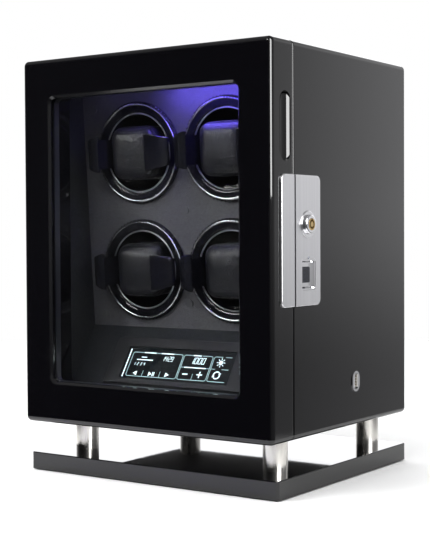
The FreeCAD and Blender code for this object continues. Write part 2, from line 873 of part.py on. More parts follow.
def toothed(teeth, width, phase_deg):
    """A spur gear about Y. Its teeth are thin enough at the pitch circle to leave backlash."""
    pitch_r = MODULE * teeth / 2
    root_r = pitch_r - 1.15 * MODULE
    tip_r = pitch_r + 0.8 * MODULE
    step = 2 * math.pi / teeth
    root_half = 0.29 * step
    tip_half = 0.11 * step
    points = []
    for index in range(teeth):
        middle = math.radians(phase_deg) + index * step
        corners = (
            (root_r, -root_half), (tip_r, -tip_half), (tip_r, tip_half), (root_r, root_half)
        )
        for radius, offset in corners:
            angle = middle + offset
            points.append(V(radius * math.sin(angle), 0, radius * math.cos(angle)))
    return prism(points, V(0, width, 0))


CENTRE_DISTANCE = MODULE * (GEAR_TEETH + PINION_TEETH) / 2
PINION_SPOT = V(0, 0, -CENTRE_DISTANCE)


def drive_gear():
    gear = toothed(GEAR_TEETH, GEAR_W, 0)
    hub = rod(SPINDLE_R + 3, V(0, GEAR_W, 0), V(0, GEAR_W + 2, 0))
    bore = rod(SPINDLE_R, V(0, -1, 0), V(0, GEAR_W + 3, 0))
    gear = gear.fuse(hub).removeSplitter().cut(bore)
    gear.translate(V(0, GEAR_DEPTH, 0))
    return gear


def motor_pinion():
    """The small gear on the motor's shaft, below the big one, a half step out of phase."""
    pinion = toothed(PINION_TEETH, GEAR_W, 180.0 / PINION_TEETH)
    shaft = rod(MOTOR_SHAFT_R, V(0, GEAR_W, 0), V(0, PLATE_DEPTH + PLATE_T + 6 - GEAR_DEPTH, 0))
    pinion = pinion.fuse(shaft).removeSplitter()
    pinion.translate(PINION_SPOT + V(0, GEAR_DEPTH, 0))
    return pinion


def motor():
    front = PLATE_DEPTH + PLATE_T
    rear = front + MOTOR_L
    body = rod(MOTOR_R, V(0, front, 0), V(0, rear, 0))
    flange = rounded_block(-MOTOR_R - 6, MOTOR_R + 6, front, front + 1.6, -6, 6, 5.0, "y")
    body = body.fuse(flange).fuse(rod(5, V(0, rear, 0), V(0, rear + 3, 0)))
    for across in (-1, 1):
        x = across * 8
        body = body.fuse(box(x - 1.2, x + 1.2, rear, rear + 5, -0.4, 0.4))
    hole = rod(MOTOR_SHAFT_R + RUNNING, V(0, front - 1, 0), V(0, front + 6.5, 0))
    body = body.removeSplitter().cut(hole)
    body.translate(PINION_SPOT)
    return body


STANDOFF_SPOTS = [
    V(across * STANDOFF_ACROSS, 0, up * STANDOFF_UP) for up in (1, -1) for across in (-1, 1)
] + [V(0, 0, 0), V(0, 0, -STANDOFF_BELOW_CENTRE)]


def drive_plate():
    """The sheet that carries the motors, on stand-offs screwed to the panel."""
    across = STANDOFF_ACROSS + PLATE_MARGIN
    up = STANDOFF_UP + PLATE_MARGIN
    plate = box(-across, across, PLATE_DEPTH, PLATE_DEPTH + PLATE_T, -up, up)
    plate = rounded(plate, 6.0, lambda edge: runs_along(edge, "y"))
    front = BEZEL_PROUD + PANEL_T
    for spot in STANDOFF_SPOTS:
        column = rod(STANDOFF_R, spot + V(0, front, 0), spot + V(0, PLATE_DEPTH, 0))
        thread = rod(PANEL_SCREW_R, spot + V(0, front - 1, 0), spot + V(0, front + 10, 0))
        plate = plate.fuse(column).cut(thread)
    for centre in ROTOR_CENTRES:
        through = V(0, PLATE_DEPTH + PLATE_T + 1, 0)
        bush = rod(SPINDLE_TAIL_R + RUNNING, centre + V(0, PLATE_DEPTH - 1, 0), centre + through)
        spot = centre + PINION_SPOT
        window = rod(MOTOR_SHAFT_R + 2, spot + V(0, PLATE_DEPTH - 1, 0), spot + through)
        plate = plate.cut(bush).cut(window)
    return leaning(plate.removeSplitter())


def panel_screws():
    """Screws through the panel into the stand-offs, each with a flat covering cap."""
    screws = []
    for spot in STANDOFF_SPOTS:
        face = spot + V(0, BEZEL_PROUD, 0)
        cap = rod(CAP_R, face - V(0, CAP_T, 0), face)
        shank = rod(PANEL_SCREW_R, face, face + V(0, PANEL_T + 8, 0))
        screws.append(leaning(cap.fuse(shank).removeSplitter()))
    return group(screws)


def ear():
    """A tapering wing of sheet that bends out from the right arm's end, over the bezel."""
    def at(radius, degrees):
        angle = math.radians(degrees)
        return V(ARM_X + radius * math.cos(angle), -radius * math.sin(angle), -EAR_ROOT_H / 2)

    inner_r = EAR_BEND_R - EAR_T
    middle = (90 + EAR_END_DEG) / 2
    bend = Part.Wire([
        Part.Arc(at(EAR_BEND_R, 90), at(EAR_BEND_R, middle), at(EAR_BEND_R, EAR_END_DEG)).toShape(),
        Part.makeLine(at(EAR_BEND_R, EAR_END_DEG), at(inner_r, EAR_END_DEG)),
        Part.Arc(at(inner_r, EAR_END_DEG), at(inner_r, middle), at(inner_r, 90)).toShape(),
        Part.makeLine(at(inner_r, 90), at(EAR_BEND_R, 90)),
    ])
    wing = Part.Face(bend).extrude(V(0, 0, EAR_ROOT_H))
    tip_x = ARM_X + EAR_BEND_R
    taper = prism(
        [
            V(ARM_X - 1, -EAR_BEND_R - 1, -EAR_ROOT_H / 2),
            V(ARM_X + ARM_T, -EAR_BEND_R - 1, -EAR_ROOT_H / 2),
            V(tip_x, -EAR_BEND_R - 1, -EAR_TIP_H / 2),
            V(tip_x, -EAR_BEND_R - 1, EAR_TIP_H / 2),
            V(ARM_X + ARM_T, -EAR_BEND_R - 1, EAR_ROOT_H / 2),
            V(ARM_X - 1, -EAR_BEND_R - 1, EAR_ROOT_H / 2),
        ],
        V(0, EAR_BEND_R + 1, 0),
    )
    wing = wing.common(taper).removeSplitter()
    return wing.makeFillet(EAR_EDGE_R, wing.Edges)


def holder():
    """A clip with a round foot and two arms that end in wings and keep the cushion in."""
    foot_front = CUP_FLOOR_DEPTH - HOLDER_BASE_T
    foot = rod(CUP_FLOOR_R - HOLDER_BASE_GAP, V(0, foot_front, 0), V(0, CUP_FLOOR_DEPTH, 0))
    beam = box(
        -ARM_X - ARM_T, ARM_X + ARM_T, foot_front, CUP_FLOOR_DEPTH - 0.5, -ARM_H / 2, ARM_H / 2
    )
    arm = box(
        ARM_X, ARM_X + ARM_T, -EAR_BEND_R + EAR_T / 2, foot_front + 1, -ARM_H / 2, ARM_H / 2
    )
    side = arm.fuse(ear())
    other = side.mirror(V(0, 0, 0), V(1, 0, 0))
    return foot.fuse(beam).fuse(side).fuse(other).removeSplitter()


def cushion():
    half = CUSHION_SIDE / 2
    block = box(-half, half, -CUSHION_FRONT, CUSHION_BACK, -half, half)
    return block.makeFillet(CUSHION_R, block.Edges)


# Lock, on the right

LOCK_LOW = LOCK_Z - LOCK_H / 2
LOCK_HIGH = LOCK_Z + LOCK_H / 2
CYLINDER_Y = SEAM + CYLINDER_BACK
CYLINDER_Z = LOCK_Z + CYLINDER_RISE
SENSOR_Y = SEAM + SENSOR_BACK
SENSOR_Z = LOCK_Z - SENSOR_DROP
CASE_FRONT = SEAM + CASE_FRONT_GAP
CASE_INNER_X = INNER_X + BOARD_GAP
BAR_X0 = CASE_INNER_X + CASE_T + CASE_SIDE_GAP
CYLINDER_INNER_X = BAR_X0 + CRANK_REACH + CAM_T + CAM_GAP
BAR_X1 = BAR_X0 + BOLT_BAR
BAR_Y0 = CASE_FRONT + CASE_T + 0.8
BAR_Y1 = BAR_Y0 + BOLT_BAR_D
YOKE_T = 2.0
TONGUE_Z0 = LOCK_Z + TONGUE_RISE - TONGUE_T / 2
TONGUE_Z1 = TONGUE_Z0 + TONGUE_T
TONGUE_X0 = BAR_X0 - 1.7
TONGUE_X1 = BAR_X1 + 2.7


def lock_plate(y0, y1, rounded_y):
    """A plate whose edges are rounded, save the straight one beside the seam."""
    seam_y = y0 + y1 - rounded_y
    plate = box(HALF_W, HALF_W + LOCK_T, y0, y1, LOCK_LOW, LOCK_HIGH)
    plate = rounded(
        plate, LOCK_R, lambda edge: runs_along(edge, "x") and lies_at(edge, "y", rounded_y)
    )
    return rounded(
        plate, LOCK_EDGE_R,
        lambda edge: lies_at(edge, "x", HALF_W + LOCK_T) and not lies_at(edge, "y", seam_y),
    )


def lock_plate_door():
    front = FRONT + LOCK_FRONT_INSET
    return lock_plate(front, DOOR_BACK - 1.0, front)


def lock_plate_cabinet():
    rear = SEAM + LOCK_L
    plate = lock_plate(SEAM + 0.6, rear, rear)
    hole = rod(
        CYLINDER_R + 0.1, V(HALF_W - 1, CYLINDER_Y, CYLINDER_Z),
        V(HALF_W + 9, CYLINDER_Y, CYLINDER_Z),
    )
    well = sensor_block(0.1, HALF_W - 1, HALF_W + LOCK_T + 1)
    return plate.cut(hole).cut(well)


def sensor_block(grow, x0, x1):
    half_w = SENSOR_W / 2 + grow
    half_h = SENSOR_H / 2 + grow
    block = box(
        x0, x1, SENSOR_Y - half_w, SENSOR_Y + half_w, SENSOR_Z - half_h, SENSOR_Z + half_h
    )
    return rounded(block, SENSOR_R + grow, lambda edge: runs_along(edge, "x"))


def fingerprint_sensor():
    """A shallow tray whose sloped walls lead down to the reader."""
    top = HALF_W + LOCK_T - SENSOR_SET
    floor = top - SENSOR_WELL_DEPTH
    tray = sensor_block(0, top - SENSOR_T, top)
    loops = []
    for x, inset in ((floor, SENSOR_RIM + SENSOR_SLOPE), (top + 0.01, SENSOR_RIM)):
        reach_y = SENSOR_W / 2 - inset
        reach_z = SENSOR_H / 2 - inset
        corners = [
            V(x, SENSOR_Y + side_y * reach_y, SENSOR_Z + side_z * reach_z)
            for side_y, side_z in ((-1, -1), (1, -1), (1, 1), (-1, 1))
        ]
        loops.append(Part.makePolygon(corners + corners[:1]))
    well = Part.makeLoft(loops, True, True)
    return tray.cut(well)


def key_cylinder():
    """A flat collar with a raised boss round the plug, and the barrel behind them."""
    collar_x = HALF_W + LOCK_T + CYLINDER_PROUD
    boss_x = collar_x + BOSS_PROUD
    centre = V(0, CYLINDER_Y, CYLINDER_Z)
    collar = rod(CYLINDER_R, centre + V(HALF_W, 0, 0), centre + V(collar_x, 0, 0))
    collar = rounded(collar, 0.5, lambda edge: lies_at(edge, "x", collar_x))
    boss = rod(BOSS_R, centre + V(HALF_W, 0, 0), centre + V(boss_x, 0, 0))
    boss = rounded(boss, BOSS_EDGE_R, lambda edge: lies_at(edge, "x", boss_x))
    barrel = rod(CYLINDER_BODY_R, centre + V(CYLINDER_INNER_X, 0, 0), centre + V(HALF_W, 0, 0))
    bore = rod(
        PLUG_R + RUNNING, centre + V(CYLINDER_INNER_X - 1, 0, 0), centre + V(boss_x + 1, 0, 0)
    )
    return collar.fuse([boss, barrel]).removeSplitter().cut(bore)


def key_plug():
    """The turning plug with its ring-shaped keyway, cam and crank pin."""
    face = HALF_W + LOCK_T + CYLINDER_PROUD + BOSS_PROUD + PLUG_PROUD
    centre = V(0, CYLINDER_Y, CYLINDER_Z)
    cam_x1 = CYLINDER_INNER_X - CAM_GAP
    cam_x0 = cam_x1 - CAM_T
    plug = rod(PLUG_R, centre + V(cam_x1, 0, 0), centre + V(face, 0, 0))
    inner_r, outer_r = KEYWAY_R
    keyway = rod(outer_r, centre + V(face - KEYWAY_DEPTH, 0, 0), centre + V(face + 1, 0, 0))
    core = rod(inner_r, centre + V(face - KEYWAY_DEPTH, 0, 0), centre + V(face, 0, 0))
    plug = plug.cut(keyway).fuse(core)
    notch = box(face - 3, face + 1, CYLINDER_Y - 0.8, CYLINDER_Y + 0.8, CYLINDER_Z + outer_r - 0.5,
                CYLINDER_Z + PLUG_R + 1)
    cam = rod(CAM_R, centre + V(cam_x0, 0, 0), centre + V(cam_x1, 0, 0))
    reach = CRANK * math.sqrt(0.5)
    crank = centre + V(0, reach, -reach)
    pin = rod(CRANK_PIN_R, crank + V(BAR_X0 - 0.2, 0, 0), crank + V(cam_x0, 0, 0))
    return plug.cut(notch).fuse(cam).fuse(pin).removeSplitter()


def latch_bolt():
    """An upright bar with a slotted arm that the crank pin lifts."""
    reach = CRANK * math.sqrt(0.5)
    slot_z = CYLINDER_Z - reach
    slot_half = CRANK_PIN_R + CRANK_SLOT
    bar = box(BAR_X0, BAR_X1, BAR_Y0, BAR_Y1, LOCK_Z - 7, TONGUE_Z0 - 1.5)
    arm = box(
        BAR_X0, BAR_X0 + YOKE_T, BAR_Y1, CYLINDER_Y + CRANK + CRANK_PIN_R + 3,
        slot_z - slot_half - 3, slot_z + slot_half + 3,
    )
    slot = box(
        BAR_X0 - 1, BAR_X0 + YOKE_T + 1, CYLINDER_Y + reach - CRANK_PIN_R - 0.6,
        CYLINDER_Y + CRANK + CRANK_PIN_R + 0.6, slot_z - slot_half, slot_z + slot_half,
    )
    return bar.fuse(arm).removeSplitter().cut(slot)


def case_outline(gap):
    return box(
        INNER_X - 1, HALF_W + 1, CASE_FRONT - gap, CASE_FRONT + CASE_L + gap,
        LOCK_Z - CASE_H / 2 - gap, LOCK_Z + CASE_H / 2 + gap,
    )


def tongue_path():
    return box(
        TONGUE_X0 - 0.8, TONGUE_X1 + 1.0, SEAM - 1, CASE_FRONT + CASE_T + 0.1,
        TONGUE_Z0 - 1, TONGUE_Z1 + 1,
    )


def lock_case():
    """A tray let into the wall, closed by the outer plate, with two guides for the bolt."""
    y0, y1 = CASE_FRONT, CASE_FRONT + CASE_L
    z0, z1 = LOCK_Z - CASE_H / 2, LOCK_Z + CASE_H / 2
    case = box(CASE_INNER_X, HALF_W, y0, y1, z0, z1)
    case = case.cut(
        box(CASE_INNER_X + CASE_T, HALF_W + 1, y0 + CASE_T, y1 - CASE_T, z0 + CASE_T, z1 - CASE_T)
    )
    for low in (LOCK_Z - 5, LOCK_Z + 25):
        guide = box(CASE_INNER_X + CASE_T, BAR_X1 + 2, y0 + CASE_T, BAR_Y1 + 2, low, low + 4)
        passage = box(
            BAR_X0 - BOLT_FIT, BAR_X1 + BOLT_FIT, BAR_Y0 - BOLT_FIT, BAR_Y1 + BOLT_FIT,
            low - 1, low + 5,
        )
        case = case.fuse(guide).cut(passage)
    return case.removeSplitter().cut(tongue_path())


STRIKER_T = 1.5


def striker_plate():
    return box(
        TONGUE_X0 - 3, TONGUE_X1 + 1, DOOR_BACK - STRIKER_T, DOOR_BACK,
        TONGUE_Z0 - 9, TONGUE_Z1 + 9,
    )


def door_striker():
    """A plate in the door's rear face with a tongue that the bolt passes through."""
    tongue = box(TONGUE_X0, TONGUE_X1, DOOR_BACK, DOOR_BACK + TONGUE_L, TONGUE_Z0, TONGUE_Z1)
    eye = box(
        BAR_X0 - 0.5, BAR_X1 + 0.5, BAR_Y0 - 0.7, BAR_Y1 + 0.7, TONGUE_Z0 - 1, TONGUE_Z1 + 1
    )
    return striker_plate().fuse(tongue).removeSplitter().cut(eye)


# Sockets

USB_Y = SEAM + USB_BACK
USB_DEPTH = 14.0
DC_BARREL_R = 5.5
DC_BORE_R = 3.2


def upright_stadium(x0, x1, width, height):
    r = width / 2
    rise = height / 2 - r
    shape = box(x0, x1, USB_Y - r, USB_Y + r, USB_Z - rise, USB_Z + rise)
    for z in (USB_Z - rise, USB_Z + rise):
        shape = shape.fuse(rod(r, V(x0, USB_Y, z), V(x1, USB_Y, z)))
    return shape.removeSplitter()


def usb_body(gap):
    return box(
        HALF_W - USB_DEPTH - gap, HALF_W + 1, USB_Y - 4 - gap, USB_Y + 4 + gap,
        USB_Z - 7.3 - gap, USB_Z + 7.3 + gap,
    )


def usb_port():
    body = box(HALF_W - USB_DEPTH, HALF_W, USB_Y - 4, USB_Y + 4, USB_Z - 7.3, USB_Z + 7.3)
    bezel = upright_stadium(HALF_W, HALF_W + 0.8, USB_W, USB_H)
    socket = box(
        HALF_W - USB_DEPTH + 2, HALF_W + 2, USB_Y - 2.6, USB_Y + 2.6, USB_Z - 6.3, USB_Z + 6.3
    )
    return body.fuse(bezel).removeSplitter().cut(socket)


def dc_jack():
    """The power inlet, flush with the back."""
    centre = V(DC_X, 0, DC_Z)
    barrel = rod(DC_BARREL_R, centre + V(0, BACK - 14, 0), centre + V(0, BACK, 0))
    nut = rod(DC_BARREL_R + 2.5, centre + V(0, BACK - BACK_T - 2.5, 0), centre + V(0, BACK - BACK_T, 0))
    bore = rod(DC_BORE_R, centre + V(0, BACK - 10, 0), centre + V(0, BACK + 1, 0))
    return barrel.fuse(nut).removeSplitter().cut(bore)


PARTS = {
    "base_felt": base_felt,
    "plinth": plinth,
    "posts": posts,
    "post_bolts": post_bolts,
    "carcass_top": carcass_top,
    "carcass_bottom": carcass_bottom,
    "carcass_left": carcass_left,
    "carcass_right": carcass_right,
    "back_panel": back_panel,
    "back_panel_screws": back_panel_screws,
    "interior_linings": interior_linings,
    "led_bar": led_bar,
    "rotor_panel": rotor_panel,
    "panel_screws": panel_screws,
    "console": console,
    "display_frame": display_frame,
    "display_glass": display_glass,
    "display_module": display_module,
    "control_board": control_board,
    "door_frame": door_frame,
    "door_glass": door_glass,
    "glass_retainer": glass_retainer,
    "hinge_leaves_cabinet": hinge_leaves_cabinet,
    "hinge_leaves_door": hinge_leaves_door,
    "hinge_pins": hinge_pins,
    "rotor_bezels": lambda: at_rotors(bezel),
    "chrome_rings": lambda: at_rotors(chrome_ring),
    "rotor_cans": lambda: at_rotors(rotor_can),
    "drive_plate": drive_plate,
    "motors": lambda: at_rotors(motor),
    "lock_plate_door": lock_plate_door,
    "lock_plate_cabinet": lock_plate_cabinet,
    "lock_case": lock_case,
    "key_cylinder": key_cylinder,
    "key_plug": key_plug,
    "latch_bolt": latch_bolt,
    "door_striker": door_striker,
    "fingerprint_sensor": fingerprint_sensor,
    "usb_port": usb_port,
    "dc_jack": dc_jack,
}
ROTOR_PIECES = {
    "rotor_cup": rotor_cup,
    "cushion_holder": holder,
    "cushion": cushion,
    "drive_gear": drive_gear,
    "motor_pinion": motor_pinion,
}


def export(name, shape):
    shape.exportStep(f"parts/{name}.step")
    print(name, len(shape.Solids), round(shape.Volume), shape.isValid())


os.makedirs("parts", exist_ok=True)
for name, make in PARTS.items():
    export(name, make())
for number, centre in enumerate(ROTOR_CENTRES, start=1):
    for name, make in ROTOR_PIECES.items():
        export(f"{name}_{number}", at_rotor(make(), centre))
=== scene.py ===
# %% [markdown]
# # A watch winder box
# The object is a lacquered cabinet with a glazed door, four turning cups for watches and a lit
# touch console. The shapes that fit and move come ready made as a fixed frame. This lesson gives
# them their finishes and adds what is easier to shape here: sewn cushions, the symbols on the
# display, and small trim.

# %% Load the frame
import json
import math
import random

import bmesh
import bpy
from mathutils import Matrix, Vector
from mathutils.bvhtree import BVHTree


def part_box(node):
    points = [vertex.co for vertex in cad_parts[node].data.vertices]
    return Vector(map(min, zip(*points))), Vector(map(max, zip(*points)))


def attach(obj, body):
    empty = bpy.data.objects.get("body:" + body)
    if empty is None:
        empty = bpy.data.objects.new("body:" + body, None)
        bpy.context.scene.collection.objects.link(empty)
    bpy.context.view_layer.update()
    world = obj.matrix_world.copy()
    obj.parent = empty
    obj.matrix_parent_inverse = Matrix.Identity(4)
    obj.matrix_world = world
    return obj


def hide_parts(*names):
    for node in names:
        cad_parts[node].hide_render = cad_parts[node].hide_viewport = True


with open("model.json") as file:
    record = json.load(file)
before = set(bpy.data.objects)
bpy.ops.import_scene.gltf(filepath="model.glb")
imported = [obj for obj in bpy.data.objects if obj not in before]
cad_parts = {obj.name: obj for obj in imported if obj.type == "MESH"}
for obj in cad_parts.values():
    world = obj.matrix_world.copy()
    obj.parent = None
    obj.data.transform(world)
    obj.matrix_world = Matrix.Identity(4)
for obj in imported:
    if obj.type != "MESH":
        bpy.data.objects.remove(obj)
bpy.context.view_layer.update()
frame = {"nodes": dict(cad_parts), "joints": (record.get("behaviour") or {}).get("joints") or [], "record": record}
nodes = frame["nodes"]
MM = 0.001

# %% [markdown]
# ## Where things are
# Every place is read from the frame: the box of a piece, or the flat face of a piece that leans.
# A leaning face gets its own small axes, with x across, y up the face and z out of it, so that a
# drawing can be laid on it as on paper.


# %% Places
def axes_at(spot, first, second, third):
    """A matrix at a spot, with three given directions as its axes."""
    axes = Matrix((first, second, third)).transposed().to_4x4()
    return Matrix.Translation(spot) @ axes


ACROSS = Vector((1, 0, 0))


def face_axes(node, towards):
    """A matrix at the middle of a node's largest flat face that looks towards a direction."""
    mesh = nodes[node].data
    best = max(
        (p for p in mesh.polygons if p.normal.dot(towards) > 0.5), key=lambda p: p.area
    )
    normal = best.normal.copy()
    same = [p for p in mesh.polygons if p.normal.dot(normal) > 0.999]
    total = sum(p.area for p in same)
    middle = sum((p.center * p.area for p in same), Vector()) / total
    return axes_at(middle, ACROSS, normal.cross(ACROSS).normalized(), normal)


joint_at = {joint["name"]: joint for joint in frame["joints"]}


def rotor_axes(number):
    """A matrix at a rotor's centre: x across, y back into the box, z up the leaning panel."""
    joint = joint_at[f"rotor_turn_{number}"]
    back = Vector(joint["axis"]).normalized()
    return axes_at(Vector(joint["pos_m"]), ACROSS, back, ACROSS.cross(back))


def link(obj):
    """Adds an object to the scene."""
    bpy.context.scene.collection.objects.link(obj)


ROTORS = (1, 2, 3, 4)
screen_axes = face_axes("display_glass", Vector((0, -0.8, 0.6)))
print("screen middle", [round(value, 4) for value in screen_axes.translation])

# %% [markdown]
# ## Camera
# A long lens from the front right, a little above the middle and almost level. A longer lens
# keeps the upright edges of a box close to upright.

# %% Camera
CAMERA_AT = Vector((0.62855, -0.91294, 0.20278))
CAMERA_TURN = math.radians(34.69)
CAMERA_DIP = math.radians(1.58)
CAMERA_ROLL = math.radians(-0.29)
CAMERA_LENS = 85.25

camera_data = bpy.data.cameras.new("camera")
camera_data.lens = CAMERA_LENS
camera = bpy.data.objects.new("camera", camera_data)
camera.matrix_world = (
    Matrix.Translation(CAMERA_AT)
    @ Matrix.Rotation(CAMERA_TURN, 4, "Z")
    @ Matrix.Rotation(math.pi / 2 - CAMERA_DIP, 4, "X")
    @ Matrix.Rotation(CAMERA_ROLL, 4, "Z")
)
link(camera)
bpy.context.scene.camera = camera
print("camera", camera_data.lens, "mm lens")

# %% [markdown]
# ## Shader node helpers
# Studio and finishes are all small networks of shader nodes. These few helpers add a node, feed
# a socket with a number or a link, and cover the steps that come back everywhere: sums, noise,
# soft thresholds and mixes of two colours.


# %% Node helpers
def feed(tree, value, socket):
    """Gives a socket a number, a vector, a colour or a link from another socket."""
    if isinstance(value, (int, float)):
        socket.default_value = value
    elif isinstance(value, tuple):
        socket.default_value = value if socket.type == "VECTOR" else (*value, 1)
    else:
        tree.links.new(value, socket)


def new_node(tree, kind, feeds=None, **settings):
    """Adds a node with its settings, and feeds its inputs by name or by place."""
    node = tree.nodes.new("ShaderNode" + kind)
    for name, value in settings.items():
        setattr(node, name, value)
    for key, value in (feeds or {}).items():
        feed(tree, value, node.inputs[key])
    return node


def maths(tree, operation, *values):
    """A maths node fed by sockets or plain numbers. Returns its output."""
    return new_node(tree, "Math", dict(enumerate(values)), operation=operation).outputs[0]


def noise(tree, vector, scale, detail=2.0, roughness=0.5, output="Fac"):
    feeds = {"Vector": vector, "Scale": scale, "Detail": detail, "Roughness": roughness}
    return new_node(tree, "TexNoise", feeds).outputs[output]


def smooth_step(tree, value, low, high):
    feeds = {"Value": value, "From Min": low, "From Max": high}
    return new_node(tree, "MapRange", feeds, interpolation_type="SMOOTHSTEP").outputs[0]


def tint(tree, value, first, second, how="MIX"):
    """Mixes two colours, plain or from sockets, by a mask."""
    feeds = {"Factor": value, "A": first, "B": second}
    return new_node(tree, "Mix", feeds, data_type="RGBA", blend_type=how).outputs["Result"]


print("node helpers ready")

# %% [markdown]
# ## Studio
# Black lacquer shows almost nothing but what stands around it, so the studio is drawn as a ring
# of soft brightness: dark ahead of the door, grey by the lock side, white behind, and a dim
# ceiling. The lens itself sees plain white. A tall panel on the right is there for reflections
# only: it draws the bright line down the door's rounded edge. Two fills that no surface mirrors
# light the floor and, through the glass, the inside.


# %% Studio sky
# Brightness by compass bearing, in degrees from the lock side, anticlockwise from above.
SKY_RING = (
    (-180, 0.50), (-155, 0.06), (-125, 0.012), (-95, 0.012), (-65, 0.06), (-40, 0.35),
    (0, 0.44), (40, 0.50), (58, 0.62), (65, 1.10), (85, 1.50), (108, 2.60), (148, 2.60),
    (180, 0.50),
)
BLUE_CAST = 1.02
CEILING = (0.30, 0.30, 0.30)
CEILING_Z = (0.30, 0.60)
BELOW = 0.45
BELOW_Z = (-0.12, 0.03)
BACKGROUND = (1.0, 1.0, 1.0)

world = bpy.data.worlds.new("studio")
bpy.context.scene.world = world
world.use_nodes = True
tree = world.node_tree
tree.nodes.clear()
view = new_node(tree, "TexCoord").outputs["Generated"]
split = new_node(tree, "SeparateXYZ", {0: view})
bearing = maths(tree, "ARCTAN2", split.outputs["Y"], split.outputs["X"])
turned = maths(tree, "MULTIPLY_ADD", bearing, 0.5 / math.pi, 0.5)
ring = new_node(tree, "ValToRGB", {0: turned})
stops = ring.color_ramp.elements
for index, (degrees, level) in enumerate(SKY_RING):
    spot = (degrees + 180) / 360
    stop = stops[index] if index < 2 else stops.new(spot)
    stop.position = spot
    stop.color = (level, level, level * BLUE_CAST, 1)
sink = smooth_step(tree, split.outputs["Z"], *BELOW_Z)
floorward = maths(tree, "MULTIPLY_ADD", sink, 1 - BELOW, BELOW)
dim = new_node(tree, "VectorMath", operation="SCALE")
feed(tree, ring.outputs[0], dim.inputs[0])
feed(tree, floorward, dim.inputs["Scale"])
height = smooth_step(tree, split.outputs["Z"], *CEILING_Z)
around = tint(tree, height, dim.outputs[0], CEILING)
lens_sees = new_node(tree, "LightPath").outputs["Is Camera Ray"]
sky = new_node(tree, "Background", {"Color": tint(tree, lens_sees, around, BACKGROUND)})
new_node(tree, "OutputWorld", {"Surface": sky.outputs[0]})
bpy.context.scene.view_settings.view_transform = "Standard"
print("sky stops", len(stops))


# %% Lights
def area_light(
    name, spot, aim, width, height, watts, colour=(1, 1, 1), glossy=True, diffuse=True
):
    data = bpy.data.lights.new(name, "AREA")
    data.shape = "RECTANGLE"
    data.size = width
    data.size_y = height
    data.energy = watts
    data.color = colour
    light = bpy.data.objects.new(name, data)
    light.location = spot
    light.rotation_euler = (Vector(aim) - Vector(spot)).to_track_quat("-Z", "Y").to_euler()
    light.visible_camera = False
    light.visible_glossy = glossy
    light.visible_diffuse = diffuse
    link(light)
    return light


area_light("side_panel", (2.03, -0.84, 1.39), (0, 0, 1.39), 1.05, 2.2, 110, diffuse=False)
area_light("front_box", (0.15, -1.5, 1.35), (0, 0, 0.2), 0.55, 0.35, 9)
area_light("left_fill", (-0.9, -1.5, 1.0), (0, 0, 0.2), 0.9, 0.9, 34, glossy=False)
area_light("top_fill", (0, 0, 2.0), (0, 0, 0), 2.0, 2.0, 46, glossy=False)

low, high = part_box("led_bar")
LED_COLOUR = (0.17, 0.12, 1.0)
led_spot = Vector((0.040, (low.y + high.y) / 2, low.z - 0.0008))
area_light(
    "led_glow", led_spot, led_spot + Vector((0, 0.035, -0.06)), 0.10, 0.006, 0.3, LED_COLOUR
)
print("lights", len(bpy.data.lights))

# %% Floor
FLOOR_R = 1.35
bpy.ops.mesh.primitive_circle_add(vertices=128, radius=FLOOR_R, fill_type="NGON")
floor = bpy.context.object
floor.name = "floor"
print("floor radius", FLOOR_R)

# %% [markdown]
# ## Shared surface effects
# Real finishes are never perfectly even. Each effect below is one node group that puts out a
# height or a mask, and every material places it with its own size and strength: the faint
# ripple of sprayed lacquer, fine handling scratches, dust, pebbled leather cloth, brushed lines,
# and the crossed threads of cloth.


# %% Group helper
def effect(name, outputs, **inputs):
    """An empty node group. Returns it, its vector and scale, its other values and its end."""
    group = bpy.data.node_groups.new(name, "ShaderNodeTree")
    group.interface.new_socket("Vector", in_out="INPUT", socket_type="NodeSocketVector")
    for label, value in inputs.items():
        socket = group.interface.new_socket(label, in_out="INPUT", socket_type="NodeSocketFloat")
        socket.default_value = value
    for label in outputs:
        group.interface.new_socket(label, in_out="OUTPUT", socket_type="NodeSocketFloat")
    values = group.nodes.new("NodeGroupInput").outputs
    end = group.nodes.new("NodeGroupOutput")
    return group, values["Vector"], values["Scale"], values, end


def close(group, end, **values):
    """Joins values to the named outputs of a group and returns the group."""
    for label, value in values.items():
        feed(group, value, end.inputs[label])
    return group


def cell_pattern(group, vector, scale, output, **settings):
    feeds = {"Vector": vector, "Scale": scale}
    return new_node(group, "TexVoronoi", feeds, **settings).outputs[output]


# %% Lacquer ripple and dust
def make_ripple():
    """The slow waves and faint haze of a sprayed coat."""
    group, vector, scale, _, end = effect("sprayed_ripple", ["Height", "Haze"], Scale=60.0)
    wide = noise(group, vector, scale, 1.0)
    slow = noise(group, vector, 9.0, 2.0)
    height = maths(group, "MULTIPLY_ADD", slow, 0.6, maths(group, "MULTIPLY", wide, 0.4))
    return close(group, end, Height=height, Haze=smooth_step(group, slow, 0.35, 0.75))


def make_dust():
    """Specks that lie in patches."""
    group, vector, scale, values, end = effect("dust_specks", ["Mask"], Scale=900.0, Amount=0.12)
    cells = cell_pattern(group, vector, scale, "Distance")
    speck = maths(group, "LESS_THAN", cells, values["Amount"])
    patch = smooth_step(group, noise(group, vector, 14.0, 3.0), 0.55, 0.75)
    return close(group, end, Mask=maths(group, "MULTIPLY", speck, patch))


RIPPLE = make_ripple()
DUST = make_dust()
print("groups", RIPPLE.name, DUST.name)


